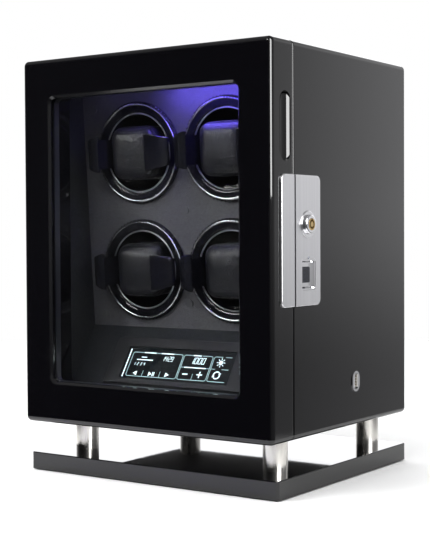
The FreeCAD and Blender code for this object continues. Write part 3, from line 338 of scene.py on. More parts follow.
# %% Scratches and brushing
def make_scratches():
    """Thin crossing lines: two stretched noises, thresholded to their ridges."""
    group, vector, scale, _, end = effect("fine_scratches", ["Mask"], Scale=40.0)
    lines = []
    for turn, stretch in ((0.5, 60.0), (-0.9, 45.0)):
        feeds = {
            "Vector": vector, "Rotation": (turn, turn * 0.7, turn * 1.3),
            "Scale": (1.0, stretch, 1.0),
        }
        value = noise(group, new_node(group, "Mapping", feeds).outputs[0], scale, 1.0)
        lines.append(smooth_step(group, value, 0.66, 0.74))
    return close(group, end, Mask=maths(group, "MAXIMUM", *lines))


def make_brushing():
    """Fine parallel lines. The stretch runs along one axis, chosen by the vector fed in."""
    group, vector, scale, _, end = effect("brushed_lines", ["Height", "Streak"], Scale=300.0)
    feeds = {"Vector": vector, "Scale": (1.0, 1.0, 0.02)}
    squeezed = new_node(group, "Mapping", feeds).outputs[0]
    fine = noise(group, squeezed, maths(group, "MULTIPLY", scale, 6.0))
    wide = noise(group, squeezed, scale, 2.0)
    return close(group, end, Height=fine, Streak=wide)


SCRATCHES = make_scratches()
BRUSHING = make_brushing()
print("groups", SCRATCHES.name, BRUSHING.name)


# %% Leather grain and cloth threads
def make_grain():
    """Pebbles with creases between them, and a slower change of tone."""
    outputs = ["Height", "Crease", "Tone"]
    group, vector, scale, _, end = effect("pebble_grain", outputs, Scale=700.0)
    bend = noise(group, vector, 240.0, output="Color")
    feeds = {0: bend, 1: (0.0009, 0.0009, 0.0009), 2: vector}
    warp = new_node(group, "VectorMath", feeds, operation="MULTIPLY_ADD")
    edges = cell_pattern(group, warp.outputs[0], scale, "Distance", feature="DISTANCE_TO_EDGE")
    pebble = smooth_step(group, edges, 0.02, 0.30)
    fine = noise(group, vector, maths(group, "MULTIPLY", scale, 3.0))
    return close(
        group, end, Height=maths(group, "MULTIPLY_ADD", fine, 0.25, pebble),
        Crease=maths(group, "SUBTRACT", 1.0, pebble), Tone=noise(group, vector, 25.0, 3.0),
    )


def make_threads():
    """Crossed threads over and under each other, with loose nap on top."""
    group, vector, scale, _, end = effect("woven_threads", ["Height", "Tone"], Scale=1500.0)
    axes = new_node(group, "SeparateXYZ", {0: vector})
    along = maths(group, "SINE", maths(group, "MULTIPLY", axes.outputs["X"], scale))
    depth = maths(group, "ADD", axes.outputs["Y"], axes.outputs["Z"])
    cross = maths(group, "SINE", maths(group, "MULTIPLY", depth, scale))
    weave = maths(group, "MULTIPLY", along, cross)
    nap = noise(group, vector, maths(group, "MULTIPLY", scale, 1.7), 3.0, 0.7)
    height = maths(group, "MULTIPLY_ADD", weave, 0.35, nap)
    return close(group, end, Height=height, Tone=noise(group, vector, 90.0, 4.0, 0.65))


GRAIN = make_grain()
THREADS = make_threads()
print("groups", GRAIN.name, THREADS.name)


# %% [markdown]
# ## Materials
# Each material is a Principled shader whose even numbers are set on its own sockets. The groups
# feed only the parts that change over the surface.

# %% Material helper
def material(name, colour, **sockets):
    """A Principled material with its even values set. Returns it, its tree and its shader."""
    made = bpy.data.materials.new(name)
    made.use_nodes = True
    made.diffuse_color = (*colour, 1)
    shader = made.node_tree.nodes["Principled BSDF"]
    shader.inputs["Base Color"].default_value = (*colour, 1)
    for label, value in sockets.items():
        shader.inputs[label.replace("_", " ").title().replace("Ior", "IOR")].default_value = value
    return made, made.node_tree, shader


def place_effect(tree, group, turn=None, **values):
    """Puts a shared group in a material, fed by the object's own coordinates."""
    where = new_node(tree, "TexCoord").outputs["Object"]
    if turn is not None:
        where = new_node(tree, "Mapping", {"Vector": where, "Rotation": turn}).outputs[0]
    node = new_node(tree, "Group", node_tree=group)
    feed(tree, where, node.inputs["Vector"])
    for label, value in values.items():
        feed(tree, value, node.inputs[label.capitalize()])
    return node.outputs


def spread(tree, value, low, high):
    """Maps 0..1 to low..high."""
    feeds = {"Value": value, "To Min": low, "To Max": high}
    return new_node(tree, "MapRange", feeds).outputs[0]


def dress(tree, shader, colour, rough, height, distance, strength):
    """Gives a shader its varying colour and roughness, and a relief of some depth in metres."""
    feeds = {"Height": height, "Distance": distance, "Strength": strength}
    relief = new_node(tree, "Bump", feeds).outputs[0]
    for label, value in (("Normal", relief), ("Base Color", colour), ("Roughness", rough)):
        feed(tree, value, shader.inputs[label])


def let_through(tree, shader, mask, colour=(1, 1, 1)):
    """Replaces the shader by clear air, or a clear tint, where the mask is on."""
    clear = new_node(tree, "BsdfTransparent", {"Color": colour}).outputs[0]
    mix = new_node(tree, "MixShader", {"Fac": mask, 1: shader.outputs[0], 2: clear})
    feed(tree, mix.outputs[0], tree.nodes["Material Output"].inputs["Surface"])


# %% Lacquer
LACQUER_BLACK = (0.0016, 0.0015, 0.0021)
DUST_GREY = (0.03, 0.03, 0.03)


def make_lacquer():
    """Polished lacquer with ripple, dust and fine scratches. Faces that look down stay matt."""
    made, tree, shader = material("piano_lacquer", LACQUER_BLACK, ior=1.52)
    ripple = place_effect(tree, RIPPLE, scale=70.0)
    scratch = place_effect(tree, SCRATCHES, scale=24.0)
    dust = place_effect(tree, DUST, scale=520.0, amount=0.10)
    worn = maths(tree, "MULTIPLY_ADD", scratch["Mask"], 0.25, ripple["Haze"])
    facing = new_node(tree, "NewGeometry").outputs["Normal"]
    facing_up = new_node(tree, "SeparateXYZ", {0: facing}).outputs["Z"]
    underside = smooth_step(tree, maths(tree, "MULTIPLY", facing_up, -1), 0.80, 0.97)
    polished = spread(tree, worn, 0.018, 0.055)
    rough = maths(tree, "MULTIPLY_ADD", underside, 0.75, polished)
    colour = tint(tree, dust["Mask"], LACQUER_BLACK, DUST_GREY)
    dress(tree, shader, colour, rough, ripple["Height"], 0.00004, 0.5)
    return made


LACQUER = make_lacquer()
print("made", LACQUER.name)


# %% Leather cloth
def make_leather(name, low_tone, high_tone, shine):
    """Stretched leather cloth: pebbles, painted shade in the creases between them, and a slow change of tone."""
    made, tree, shader = material(name, low_tone, specular_ior_level=shine)
    grain = place_effect(tree, GRAIN, scale=900.0)
    tone = tint(tree, grain["Tone"], low_tone, high_tone)
    # Painted shade: the colour is darkened in the creases between the pebbles.
    crease_shade_mask = maths(tree, "MULTIPLY", grain["Crease"], 0.5)
    dark = tint(tree, crease_shade_mask, tone, (0.35, 0.35, 0.35), "MULTIPLY")
    rough = spread(tree, grain["Height"], 0.72, 0.50)
    dress(tree, shader, dark, rough, grain["Height"], 0.00022, 0.6)
    return made


LEATHER = make_leather("leather_cloth", (0.034, 0.033, 0.038), (0.052, 0.051, 0.056), 0.35)
# A darker copy of the panel's leather cloth for the linings and the console: painted shade for the inside of the
# box, where less light falls.
SHADED_LEATHER_COPY = make_leather(
    "shaded_leather_cloth", (0.009, 0.010, 0.011), (0.015, 0.016, 0.018), 0.12
)
print("made", LEATHER.name, SHADED_LEATHER_COPY.name)


# %% Plastics
def make_plastic(name, colour, smooth, rough, grain_scale, bump_mm=0.01, shine=0.5):
    """Moulded plastic: a faint mould texture, with scratches that catch the light."""
    made, tree, shader = material(name, colour, specular_ior_level=shine)
    ripple = place_effect(tree, RIPPLE, scale=grain_scale)
    scratch = place_effect(tree, SCRATCHES, scale=60.0)
    worn = maths(tree, "MULTIPLY_ADD", scratch["Mask"], 0.35, ripple["Haze"])
    lighter = tuple(min(1.0, value * 1.35 + 0.002) for value in colour)
    hazed = tint(tree, ripple["Haze"], colour, lighter)
    rubbed = spread(tree, worn, smooth, rough)
    dress(tree, shader, hazed, rubbed, ripple["Height"], bump_mm * MM, 0.6)
    return made


GLOSS_BLACK = make_plastic("gloss_black_plastic", (0.004, 0.004, 0.0055), 0.04, 0.11, 120.0)
SATIN_BLACK = make_plastic("satin_black_plastic", (0.010, 0.010, 0.012), 0.28, 0.42, 900.0, 0.03)
MATT_BLACK = make_plastic("matt_black_plastic", (0.022, 0.022, 0.024), 0.5, 0.7, 1400.0, 0.05)
TRIM_BLACK = make_plastic(
    "dull_trim_plastic", (0.006, 0.006, 0.007), 0.45, 0.6, 1100.0, 0.03, 0.22
)
BACK_LIGHT = make_plastic("display_back_light", (0.55, 0.56, 0.55), 0.4, 0.6, 500.0)
ACETAL = make_plastic("natural_acetal", (0.78, 0.76, 0.70), 0.35, 0.5, 600.0)
CIRCUIT = make_plastic("green_circuit_board", (0.012, 0.11, 0.045), 0.25, 0.5, 800.0)
BOARD = make_plastic("painted_back_board", (0.016, 0.016, 0.018), 0.55, 0.75, 500.0, 0.08)
POWDER = make_plastic("grey_powder_coat", (0.16, 0.17, 0.18), 0.45, 0.6, 2500.0, 0.06)
print("plastics made")


# %% Metals
def make_metal(name, colour, smooth, rough, lines, bump_mm, turn=None):
    """Metal with upright brushed lines, unless turned, and a few scratches."""
    made, tree, shader = material(name, colour, metallic=1.0)
    brush = place_effect(tree, BRUSHING, turn, scale=lines)
    scratch = place_effect(tree, SCRATCHES, scale=50.0)
    worn = maths(tree, "MULTIPLY_ADD", scratch["Mask"], 0.3, brush["Streak"])
    darker = tuple(value * 0.82 for value in colour)
    streaked = tint(tree, brush["Streak"], darker, colour)
    rubbed = spread(tree, worn, smooth, rough)
    dress(tree, shader, streaked, rubbed, brush["Height"], bump_mm * MM, 0.5)
    return made


LINES_ALONG_X = (0, math.pi / 2, 0)
CHROME = make_metal("bright_chrome", (0.90, 0.90, 0.92), 0.03, 0.09, 120.0, 0.0005)
RING_CHROME = make_metal("ring_chrome", (0.88, 0.88, 0.90), 0.12, 0.22, 120.0, 0.0005)
LIP_CHROME = make_metal("dark_satin_lip", (0.42, 0.42, 0.44), 0.30, 0.42, 120.0, 0.0005)
POST_STEEL = make_metal("satin_steel", (0.78, 0.76, 0.72), 0.16, 0.30, 420.0, 0.004)
PLATED = make_metal("zinc_plate", (0.55, 0.55, 0.54), 0.25, 0.45, 200.0, 0.004)
BLACK_STEEL = make_metal("blackened_steel", (0.10, 0.10, 0.105), 0.25, 0.4, 200.0, 0.004)
LOCK_METAL = make_metal("satin_lock_metal", (0.80, 0.80, 0.82), 0.24, 0.38, 500.0, 0.006)
BRASS = make_metal("key_brass", (0.72, 0.53, 0.25), 0.12, 0.26, 300.0, 0.002, LINES_ALONG_X)
print("metals made")


# %% Cushion cloth
def make_cushion_cloth():
    """Soft leather cloth: finer pebbles than the panel's, and a smoother, glossier skin."""
    made, tree, shader = material("soft_leather", (0.006, 0.006, 0.007), specular_ior_level=0.3)
    grain = place_effect(tree, GRAIN, scale=1500.0)
    tone = tint(tree, grain["Tone"], (0.004, 0.004, 0.005), (0.009, 0.009, 0.011))
    rough = spread(tree, grain["Height"], 0.34, 0.16)
    dress(tree, shader, tone, rough, grain["Height"], 0.00010, 0.5)
    return made


SOFT_LEATHER = make_cushion_cloth()
print("made", SOFT_LEATHER.name)


# %% Felt
def make_felt():
    """Dark felt: crossed threads under a loose nap."""
    made, tree, shader = material("pressed_felt", (0.02, 0.02, 0.022), sheen_weight=0.4)
    thread = place_effect(tree, THREADS, scale=2200.0)
    tone = tint(tree, thread["Tone"], (0.016, 0.016, 0.018), (0.035, 0.035, 0.038))
    rough = spread(tree, thread["Height"], 0.85, 1.0)
    dress(tree, shader, tone, rough, thread["Height"], 0.0002, 0.8)
    return made


FELT = make_felt()
print("made", FELT.name)


# %% [markdown]
# ## Glass and light
# Clear glass bends light so that lamps outside can't reach straight through it in a simple
# render. Letting shadow rays pass keeps the inside lit, and the glass keeps its reflections.

# %% Glass, diffuser
def make_glass():
    made, tree, shader = material(
        "door_glass", (0.97, 0.985, 0.98), roughness=0.0, ior=1.5, transmission_weight=1.0
    )
    path = new_node(tree, "LightPath")
    let_through(tree, shader, path.outputs["Is Shadow Ray"], (0.93, 0.95, 0.95))
    return made


def make_glow(name, colour, strength, base=(0.6, 0.6, 0.65)):
    made, tree, shader = material(name, base, roughness=0.5)
    feed(tree, colour, shader.inputs["Emission Color"])
    feed(tree, strength, shader.inputs["Emission Strength"])
    return made


DOOR_GLASS = make_glass()
DIFFUSER = make_glow("light_diffuser", (0.35, 0.30, 1.0), 2.0)
SYMBOLS = make_glow("display_marks", (0.80, 0.95, 1.0), 0.95, (0.4, 0.5, 0.5))
FAINT_SYMBOLS = make_glow("display_lines", (0.60, 0.82, 0.86), 0.36, (0.2, 0.3, 0.3))
SCREEN = make_plastic("touch_window", (0.004, 0.005, 0.006), 0.05, 0.12, 90.0, 0.004)
THREAD = make_plastic("black_thread", (0.02, 0.02, 0.022), 0.55, 0.7, 3000.0, 0.02)
LAMP_LENS = make_plastic("clear_lamp_lens", (0.30, 0.32, 0.36), 0.08, 0.16, 400.0, 0.002)
SENSOR = make_plastic("reader_window", (0.006, 0.008, 0.016), 0.06, 0.14, 200.0, 0.004)
print("made", DOOR_GLASS.name, SYMBOLS.name)

# %% [markdown]
# ## Floor finish
# The floor is pale paint. In the studio it ends a little way ahead of the box, so that the door
# mirrors a dark room and not a bright floor. Here the floor stays wide for the eye, and mirrored
# rays pass through it beyond that distance.

# %% Studio floor finish
MIRROR_FROM = 0.27
MIRROR_TO = 0.36


def make_floor_paint():
    made, tree, shader = material("studio_floor", (0.90, 0.90, 0.90), roughness=0.8)
    tone = place_effect(tree, RIPPLE, scale=3.0)
    paint = tint(tree, tone["Haze"], (0.89, 0.89, 0.89), (0.91, 0.91, 0.91))
    feed(tree, paint, shader.inputs["Base Color"])
    where = new_node(tree, "TexCoord").outputs["Object"]
    reach = new_node(tree, "VectorMath", {0: where}, operation="LENGTH").outputs["Value"]
    far = smooth_step(tree, reach, MIRROR_FROM, MIRROR_TO)
    path = new_node(tree, "LightPath")
    let_through(tree, shader, maths(tree, "MULTIPLY", far, path.outputs["Is Glossy Ray"]))
    return made


floor.data.materials.append(make_floor_paint())
print("floor finished")

# %% [markdown]
# ## Finishing the frame's pieces
# Each ready-made piece keeps its shape and gets its finish here. Small bevels soften the sharp
# edges of turned and cut metal, so that they catch a line of light.

# %% Assign finishes
FINISHES = {
    "lacquer": LACQUER,
    "felt": FELT,
    "post_steel": POST_STEEL,
    "fastener_steel": PLATED,
    "hinge_steel": BLACK_STEEL,
    "back_board": BOARD,
    "panel_leather": LEATHER,
    "light_diffuser": DIFFUSER,
    "display_trim": TRIM_BLACK,
    "display_window": SCREEN,
    "display_body": BACK_LIGHT,
    "circuit_board": CIRCUIT,
    "door_glass": DOOR_GLASS,
    "retainer": SATIN_BLACK,
    "rotor_gloss": GLOSS_BLACK,
    "ring_chrome": RING_CHROME,
    "can_plastic": MATT_BLACK,
    "drive_sheet": POWDER,
    "motor_steel": PLATED,
    "gear_plastic": ACETAL,
    "cushion_cloth": SOFT_LEATHER,
    "lock_metal": LOCK_METAL,
    "lock_works": PLATED,
    "key_brass": BRASS,
    "socket_chrome": CHROME,
    "jack_plastic": MATT_BLACK,
}
SPECIAL = {
    "key_cylinder": CHROME,
    "fingerprint_sensor": CHROME,
    # Painted shade: the linings and the console take the darker copy of the panel's leather instead of their own.
    "interior_linings": SHADED_LEATHER_COPY,
    "console": SHADED_LEATHER_COPY,
}


def smooth_by_angle(obj, degrees=32.0):
    """Smooth shading, with edges sharper than the angle kept crisp."""
    mesh = obj.data
    mesh.shade_smooth()
    mesh.set_sharp_from_angle(angle=math.radians(degrees))


slot_of = {entry["node"]: entry["material_slot"] for entry in frame["record"]["subparts"]}
for name, obj in nodes.items():
    finish = SPECIAL.get(name, FINISHES[slot_of[name]])
    obj.data.materials.clear()
    obj.data.materials.append(finish)
    smooth_by_angle(obj)
print("finished", len(nodes), "pieces")


# %% Edge bevels
def soften(name, width_mm, segments=2):
    """A small bevel on a piece's crisp edges."""
    bevel = nodes[name].modifiers.new("soft_edge", "BEVEL")
    bevel.width = width_mm * MM
    bevel.segments = segments
    bevel.limit_method = "ANGLE"
    bevel.angle_limit = math.radians(50)
    bevel.harden_normals = True


for name, width_mm in (
    ("posts", 0.4), ("panel_screws", 0.25), ("hinge_leaves_cabinet", 0.2), ("console", 1.2),
    ("hinge_leaves_door", 0.2), ("usb_port", 0.25), ("display_glass", 0.2), ("back_panel", 0.5),
):
    soften(name, width_mm)
print("edges softened")


# %% [markdown]
# ## Building small pieces
# New pieces are built point by point in a mesh, then placed by a matrix and told which body of
# the frame they move with.

# %% Piece helper
def piece(name, mesh_maker, body, finish, axes=None, smooth=True):
    """Makes an object from a bmesh builder, gives it a finish and lets it ride a body."""
    work = bmesh.new()
    mesh_maker(work)
    bmesh.ops.recalc_face_normals(work, faces=work.faces)
    mesh = bpy.data.meshes.new(name)
    work.to_mesh(mesh)
    work.free()
    if axes is not None:
        mesh.transform(axes)
    obj = bpy.data.objects.new(name, mesh)
    mesh.materials.append(finish)
    link(obj)
    if smooth:
        smooth_by_angle(obj)
    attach(obj, body)
    return obj


def circle(count):
    """Cosine and sine at even steps round a circle."""
    turns = [2 * math.pi * step / count for step in range(count)]
    return [(math.cos(turn), math.sin(turn)) for turn in turns]


def skin(work, rings, looped=False, ends=True):
    """Four-sided faces between neighbouring rings of vertices, looped or with closed ends."""
    for index, ring in enumerate(rings if looped else rings[:-1]):
        after = rings[(index + 1) % len(rings)]
        for k in range(len(ring)):
            m = (k + 1) % len(ring)
            work.faces.new((ring[k], ring[m], after[m], after[k]))
    if ends and not looped:
        work.faces.new(rings[0][::-1])
        work.faces.new(rings[-1])


def add_prism(work, outline, low, high):
    """A closed prism from an outline in x and y, between two heights."""
    skin(work, [[work.verts.new((x, y, z)) for x, y in outline] for z in (low, high)])


def rectangle(left, right, low, high):
    return [(left, low), (right, low), (right, high), (left, high)]


print("piece helpers ready")

# %% [markdown]
# ## Display symbols
# The touch window shows thin rounded frames, playing keys, plus and minus, a lamp, a cycle arrow
# and numbers. They are drawn as short strokes on the window's own axes, in millimetres from its
# middle. Words are replaced by rows of plain dashes.

# %% Strokes
SYMBOL_LIFT = 0.04
SYMBOL_T = 0.10
SCREEN_MIDDLE_DOWN = 35.75


def raised(work, spots):
    """A thin plate with its corners at spots on the window, in millimetres from its middle."""
    outline = [(x * MM, y * MM) for x, y in spots]
    add_prism(work, outline, SYMBOL_LIFT * MM, (SYMBOL_LIFT + SYMBOL_T) * MM)


def filled(work, points):
    raised(work, [(x, SCREEN_MIDDLE_DOWN - down) for x, down in points])


def stroke(work, points, width):
    """A flat ribbon of quads along points, given as (x, down) from the console's top edge."""
    spots = [Vector((x, SCREEN_MIDDLE_DOWN - down)) for x, down in points]
    for start, end in zip(spots, spots[1:]):
        along = (end - start).normalized() * width / 2
        side = Vector((-along.y, along.x))
        a, b = start - along, end + along
        raised(work, (a - side, b - side, b + side, a + side))


def arc(x, down, radius, start, end, steps=10):
    """Points along a circle, with angles in degrees from the right, turning upwards."""
    return [
        (
            x + radius * math.cos(math.radians(start + (end - start) * step / steps)),
            down - radius * math.sin(math.radians(start + (end - start) * step / steps)),
        )
        for step in range(steps + 1)
    ]


def rounded_frame(left, right, top, bottom, radius):
    return (
        arc(right - radius, top + radius, radius, 90, 0, 4)
        + arc(right - radius, bottom - radius, radius, 0, -90, 4)
        + arc(left + radius, bottom - radius, radius, -90, -180, 4)
        + arc(left + radius, top + radius, radius, 180, 90, 4)
    )


# %% Digits
SEGMENTS = {
    "0": "abcdef", "1": "bc", "2": "abged", "3": "abgcd", "4": "fgbc", "5": "afgcd",
    "6": "afgedc", "7": "abc", "8": "abcdefg", "9": "abcdfg",
}
CORNERS = {
    "a": ((0, 0), (1, 0)), "b": ((1, 0), (1, 1)), "c": ((1, 1), (1, 2)), "d": ((0, 2), (1, 2)),
    "e": ((0, 1), (0, 2)), "f": ((0, 0), (0, 1)), "g": ((0, 1), (1, 1)),
}
SLANT = 0.16


def digit(work, mark, left, top, width, height, weight):
    """One slanted seven-part digit."""
    for segment in SEGMENTS[mark]:
        ends = []
        for across, down in CORNERS[segment]:
            y = down * height / 2
            ends.append((left + across * width + (height - y) * SLANT, top + y))
        shrink = weight * 0.35
        (x0, y0), (x1, y1) = ends
        length = math.hypot(x1 - x0, y1 - y0)
        ux, uy = (x1 - x0) / length * shrink, (y1 - y0) / length * shrink
        stroke(work, [(x0 + ux, y0 + uy), (x1 - ux, y1 - uy)], weight)


def number(work, text, left, top, width, height, gap, weight):
    x = left
    for mark in text:
        if mark == ":":
            for share in (0.3, 0.7):
                down = top + height * share
                stroke(work, [(x + 0.1, down), (x + 0.4, down)], 0.5)
            x += gap
        else:
            digit(work, mark, x, top, width, height, weight)
            x += width + gap


def dashes(work, left, right, down, width, seed):
    """A row of short dashes that stands for small print."""
    chance = random.Random(seed)
    x = left
    while x < right - 0.6:
        step = chance.uniform(0.8, 2.2)
        stroke(work, [(x, down), (min(x + step, right), down)], width)
        x += step + 0.75


# %% Draw the display
LINE = 0.36


def framed(work, left, right, gaps):
    """A rounded frame whose top line leaves gaps for its small labels."""
    stroke(work, rounded_frame(left, right, 25.5, 48.2, 1.8), LINE * 1.35)
    start = left + 1.8
    for gap_left, gap_right in (*gaps, (right - 1.8, None)):
        stroke(work, [(start, 25.5), (gap_left, 25.5)], LINE * 1.35)
        start = gap_right


def draw_lines(work):
    framed(work, -50.0, 2.6, ((-39.4, -25.4), (-21.2, -6.4)))
    framed(work, 3.9, 33.0, ((12.6, 22.4),))
    open_frame = arc(36.1, 27.3, 1.8, 90, 180, 4) + arc(36.1, 46.4, 1.8, 180, 270, 4)
    stroke(work, [(42.6, 25.5)] + open_frame + [(51.5, 48.2)], LINE * 1.35)
    for left, right, down in (
        (45.6, 51.5, 25.5), (4.2, 6.8, 36.8), (30.2, 32.7, 36.8), (34.6, 38.4, 36.8),
        (45.4, 51.5, 36.8),
    ):
        stroke(work, [(left, down), (right, down)], LINE * 1.2)
    for x in (-33.0, -15.0, 18.4):
        stroke(work, [(x, 42.6), (x, 47.9)], LINE)


def draw_keys(work):
    filled(work, [(-43.2, 45.3), (-39.2, 43.2), (-39.2, 47.4)])
    filled(work, [(-26.6, 43.2), (-23.2, 45.3), (-26.6, 47.4)])
    for x in (-22.3, -20.9):
        stroke(work, [(x, 43.7), (x, 46.9)], 0.75)
    filled(work, [(-9.2, 43.0), (-5.2, 45.1), (-9.2, 47.2)])
    stroke(work, [(8.6, 43.1), (12.8, 43.1)], 1.0)
    stroke(work, [(22.9, 42.9), (27.5, 42.9)], 1.0)
    stroke(work, [(25.2, 40.6), (25.2, 45.2)], 1.0)


def draw_lamp(work):
    filled(work, arc(42.3, 30.6, 1.9, 0, 360, 20)[:-1])
    for degrees in range(0, 360, 45):
        angle = math.radians(degrees)
        ends = [
            (42.3 + reach * math.cos(angle), 30.6 - reach * math.sin(angle)) for reach in (2.7, 3.9)
        ]
        stroke(work, ends, 0.55)


def draw_cycle(work):
    for start in (60, 240):
        stroke(work, arc(42.0, 42.2, 3.1, start, start + 135, 12), 0.95)
        tip = math.radians(start + 150)
        x, down = 42.0 + 3.1 * math.cos(tip), 42.2 - 3.1 * math.sin(tip)
        heading = math.radians(start + 240)
        ahead = Vector((math.cos(heading), -math.sin(heading))) * 1.5
        side = Vector((-ahead.y, ahead.x))
        middle = Vector((x, down))
        corners = [middle + ahead * 0.5, middle - ahead * 0.5 + side, middle - ahead * 0.5 - side]
        filled(work, [tuple(v) for v in corners])


def draw_numbers(work):
    number(work, "1000", 12.0, 27.6, 2.5, 5.4, 1.25, 0.55)
    number(work, "14:29", -17.6, 28.2, 1.8, 4.2, 0.9, 0.38)
    for index, mark in enumerate("1234"):
        digit(work, mark, -45.4 + index * 3.4, 35.2, 0.9, 2.4, 0.32)
    dashes(work, -43.5, -27.5, 32.4, 0.9, 3)
    dashes(work, -39.5, -33.5, 29.9, 0.8, 4)
    dashes(work, -38.0, -26.5, 25.5, 0.9, 5)
    dashes(work, -20.0, -7.5, 25.5, 0.9, 6)
    dashes(work, 13.5, 21.5, 25.5, 0.9, 7)
    dashes(work, 8.0, 29.0, 36.8, 0.85, 8)


def draw_marks(work):
    stroke(work, [(-53.3, 23.2), (-53.3, 48.8)], 1.1)
    for draw in (draw_keys, draw_lamp, draw_cycle, draw_numbers):
        draw(work)


for name, maker, glow in (
    ("display_lines", draw_lines, FAINT_SYMBOLS), ("display_marks", draw_marks, SYMBOLS)
):
    drawn = piece(name, maker, "cabinet", glow, screen_axes, smooth=False)
    print(name, len(drawn.data.polygons), "faces")

# %% [markdown]
# ## Milled edge of the bezels
# Each bezel has a ring of small ribs on its outer slope. They are what breaks the lamp's light
# into a row of ticks. One rib is a short rounded bar along the slope, repeated round the circle.

# %% Bezel ribs
low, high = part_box("rotor_bezels")
PITCH = Vector(joint_at["rotor_turn_2"]["pos_m"]).x - Vector(joint_at["rotor_turn_1"]["pos_m"]).x
BEZEL_R = (high.x - low.x - PITCH) / 2
RIB_COUNT = 72
RIB_W = 1.3
RIB_RISE = 0.65
RIB_SINK = 0.12
RIB_TOP = (BEZEL_R / MM - 1.55, 0.25)
RIB_FOOT = (BEZEL_R / MM + 0.35, 1.95)
# Where along a rib its height changes, and how much of the full height it has there.
RIB_RISES = ((0.0, 0.35), (0.12, 1.0), (0.88, 1.0), (1.0, 0.35))


def add_ribs(work):
    """Half-round bars lying on the slope between two (radius, depth) points."""
    top, foot = Vector(RIB_TOP), Vector(RIB_FOOT)
    slope = (foot - top).normalized()
    out = Vector((slope.y, -slope.x))
    profile = [(math.cos(a) * RIB_W / 2, math.sin(a) * RIB_RISE) for a in
               [math.pi * step / 6 for step in range(7)]]
    for index in range(RIB_COUNT):
        turn = Matrix.Rotation(2 * math.pi * index / RIB_COUNT, 3, "Y")
        rings = []
        for share, rise in RIB_RISES:
            ring = []
            for side, lift in profile:
                radius, depth = top.lerp(foot, share) + out * (lift * rise - RIB_SINK)
                ring.append(work.verts.new(turn @ (Vector((side, depth, radius)) * MM)))
            rings.append(ring)
        skin(work, rings)


for number_of in ROTORS:
    piece(
        f"bezel_ribs_{number_of}", add_ribs, "cabinet", GLOSS_BLACK,
        rotor_axes(number_of),
    )
print("bezel radius mm", round(BEZEL_R / MM, 2), "ribs", RIB_COUNT)

# %% [markdown]
# ## Lip of the turning cup
# A satin grey line runs round the mouth of each cup, where its rim is rolled over and polished.
# It is a thin ring of round section that sits in the rim and turns with the cup.

# %% Cup lips
low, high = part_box("rotor_cup_1")
CUP_R = (high.x - low.x) / 2
LIP_R = CUP_R - 0.0007
LIP_TUBE_R = 0.00062
LIP_DEPTH = 0.0023


def add_ring(work, radius, tube_r, depth, around=96, section=10):
    """A ring of round section about Y, made by sweeping small circles."""
    skin(work, [
        [
            work.verts.new(Vector((x, 0, z)) * (radius + tube_r * out)
                           + Vector((0, depth + tube_r * down, 0)))
            for out, down in circle(section)
        ]
        for x, z in circle(around)
    ], looped=True)


for number_of in ROTORS:
    piece(
        f"cup_lip_{number_of}",
        lambda work: add_ring(work, LIP_R, LIP_TUBE_R, LIP_DEPTH),
        f"rotor_{number_of}", LIP_CHROME, rotor_axes(number_of),
    )
print("cup radius mm", round(CUP_R / MM, 2))

# %% [markdown]
# ## Watch cushions
# Each cushion is a foam block in a sewn cover of soft leather cloth: a front panel, a band round
# the sides, and a welt where they meet. A watch is strapped round it. The cover is pulled tight,
# so the faces crown and the sides pull in a little between the corners. A cloth simulation with
# air pressure gives that shape. The welt and its stitches go on after it, because remeshing
# would erase them.

# %% Cushion block
low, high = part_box("cushion_1")
CUSHION_HALF = (high.x - low.x) / 2
joint_spot = rotor_axes(1)
corner_depths = [
    (joint_spot.inverted() @ (nodes["cushion_1"].matrix_world @ v.co)).y
    for v in nodes["cushion_1"].data.vertices
]
CUSHION_FRONT, CUSHION_BACK = min(corner_depths), max(corner_depths)
SHRINK = 0.0012
SWELL = 0.0021
CORNER_R = 0.0095
VOXEL = 0.0035
WELT_DEPTH = CUSHION_FRONT + 0.0095
WELT_R = 0.00075


def cushion_block():
    """A rounded block a little smaller than its space, remeshed to even squares."""
    work = bmesh.new()
    bmesh.ops.create_cube(work, size=1)
    half = CUSHION_HALF - SHRINK
    length = CUSHION_BACK - CUSHION_FRONT - 2 * SHRINK
    middle = (CUSHION_BACK + CUSHION_FRONT) / 2
    for vert in work.verts:
        vert.co = Vector((vert.co.x * 2 * half, middle + vert.co.y * length, vert.co.z * 2 * half))
    bmesh.ops.bevel(
        work, geom=work.edges[:], offset=CORNER_R, segments=6, profile=0.5, affect="EDGES"
    )
    mesh = bpy.data.meshes.new("cushion_form")
    work.to_mesh(mesh)
    work.free()
    form = bpy.data.objects.new("cushion_form", mesh)
    link(form)
    remesh = form.modifiers.new("even", "REMESH")
    remesh.mode = "VOXEL"
    remesh.voxel_size = VOXEL
    return form


def baked(form):
    """The object's shape with its modifiers applied, as a new mesh."""
    graph = bpy.context.evaluated_depsgraph_get()
    return bpy.data.meshes.new_from_object(form.evaluated_get(graph))


form = cushion_block()
form.data = baked(form)
form.modifiers.clear()
print("cushion half mm", round(CUSHION_HALF / MM, 2), "points", len(form.data.vertices))


# %% Cushion swelling
SWELL_FRAMES = 20


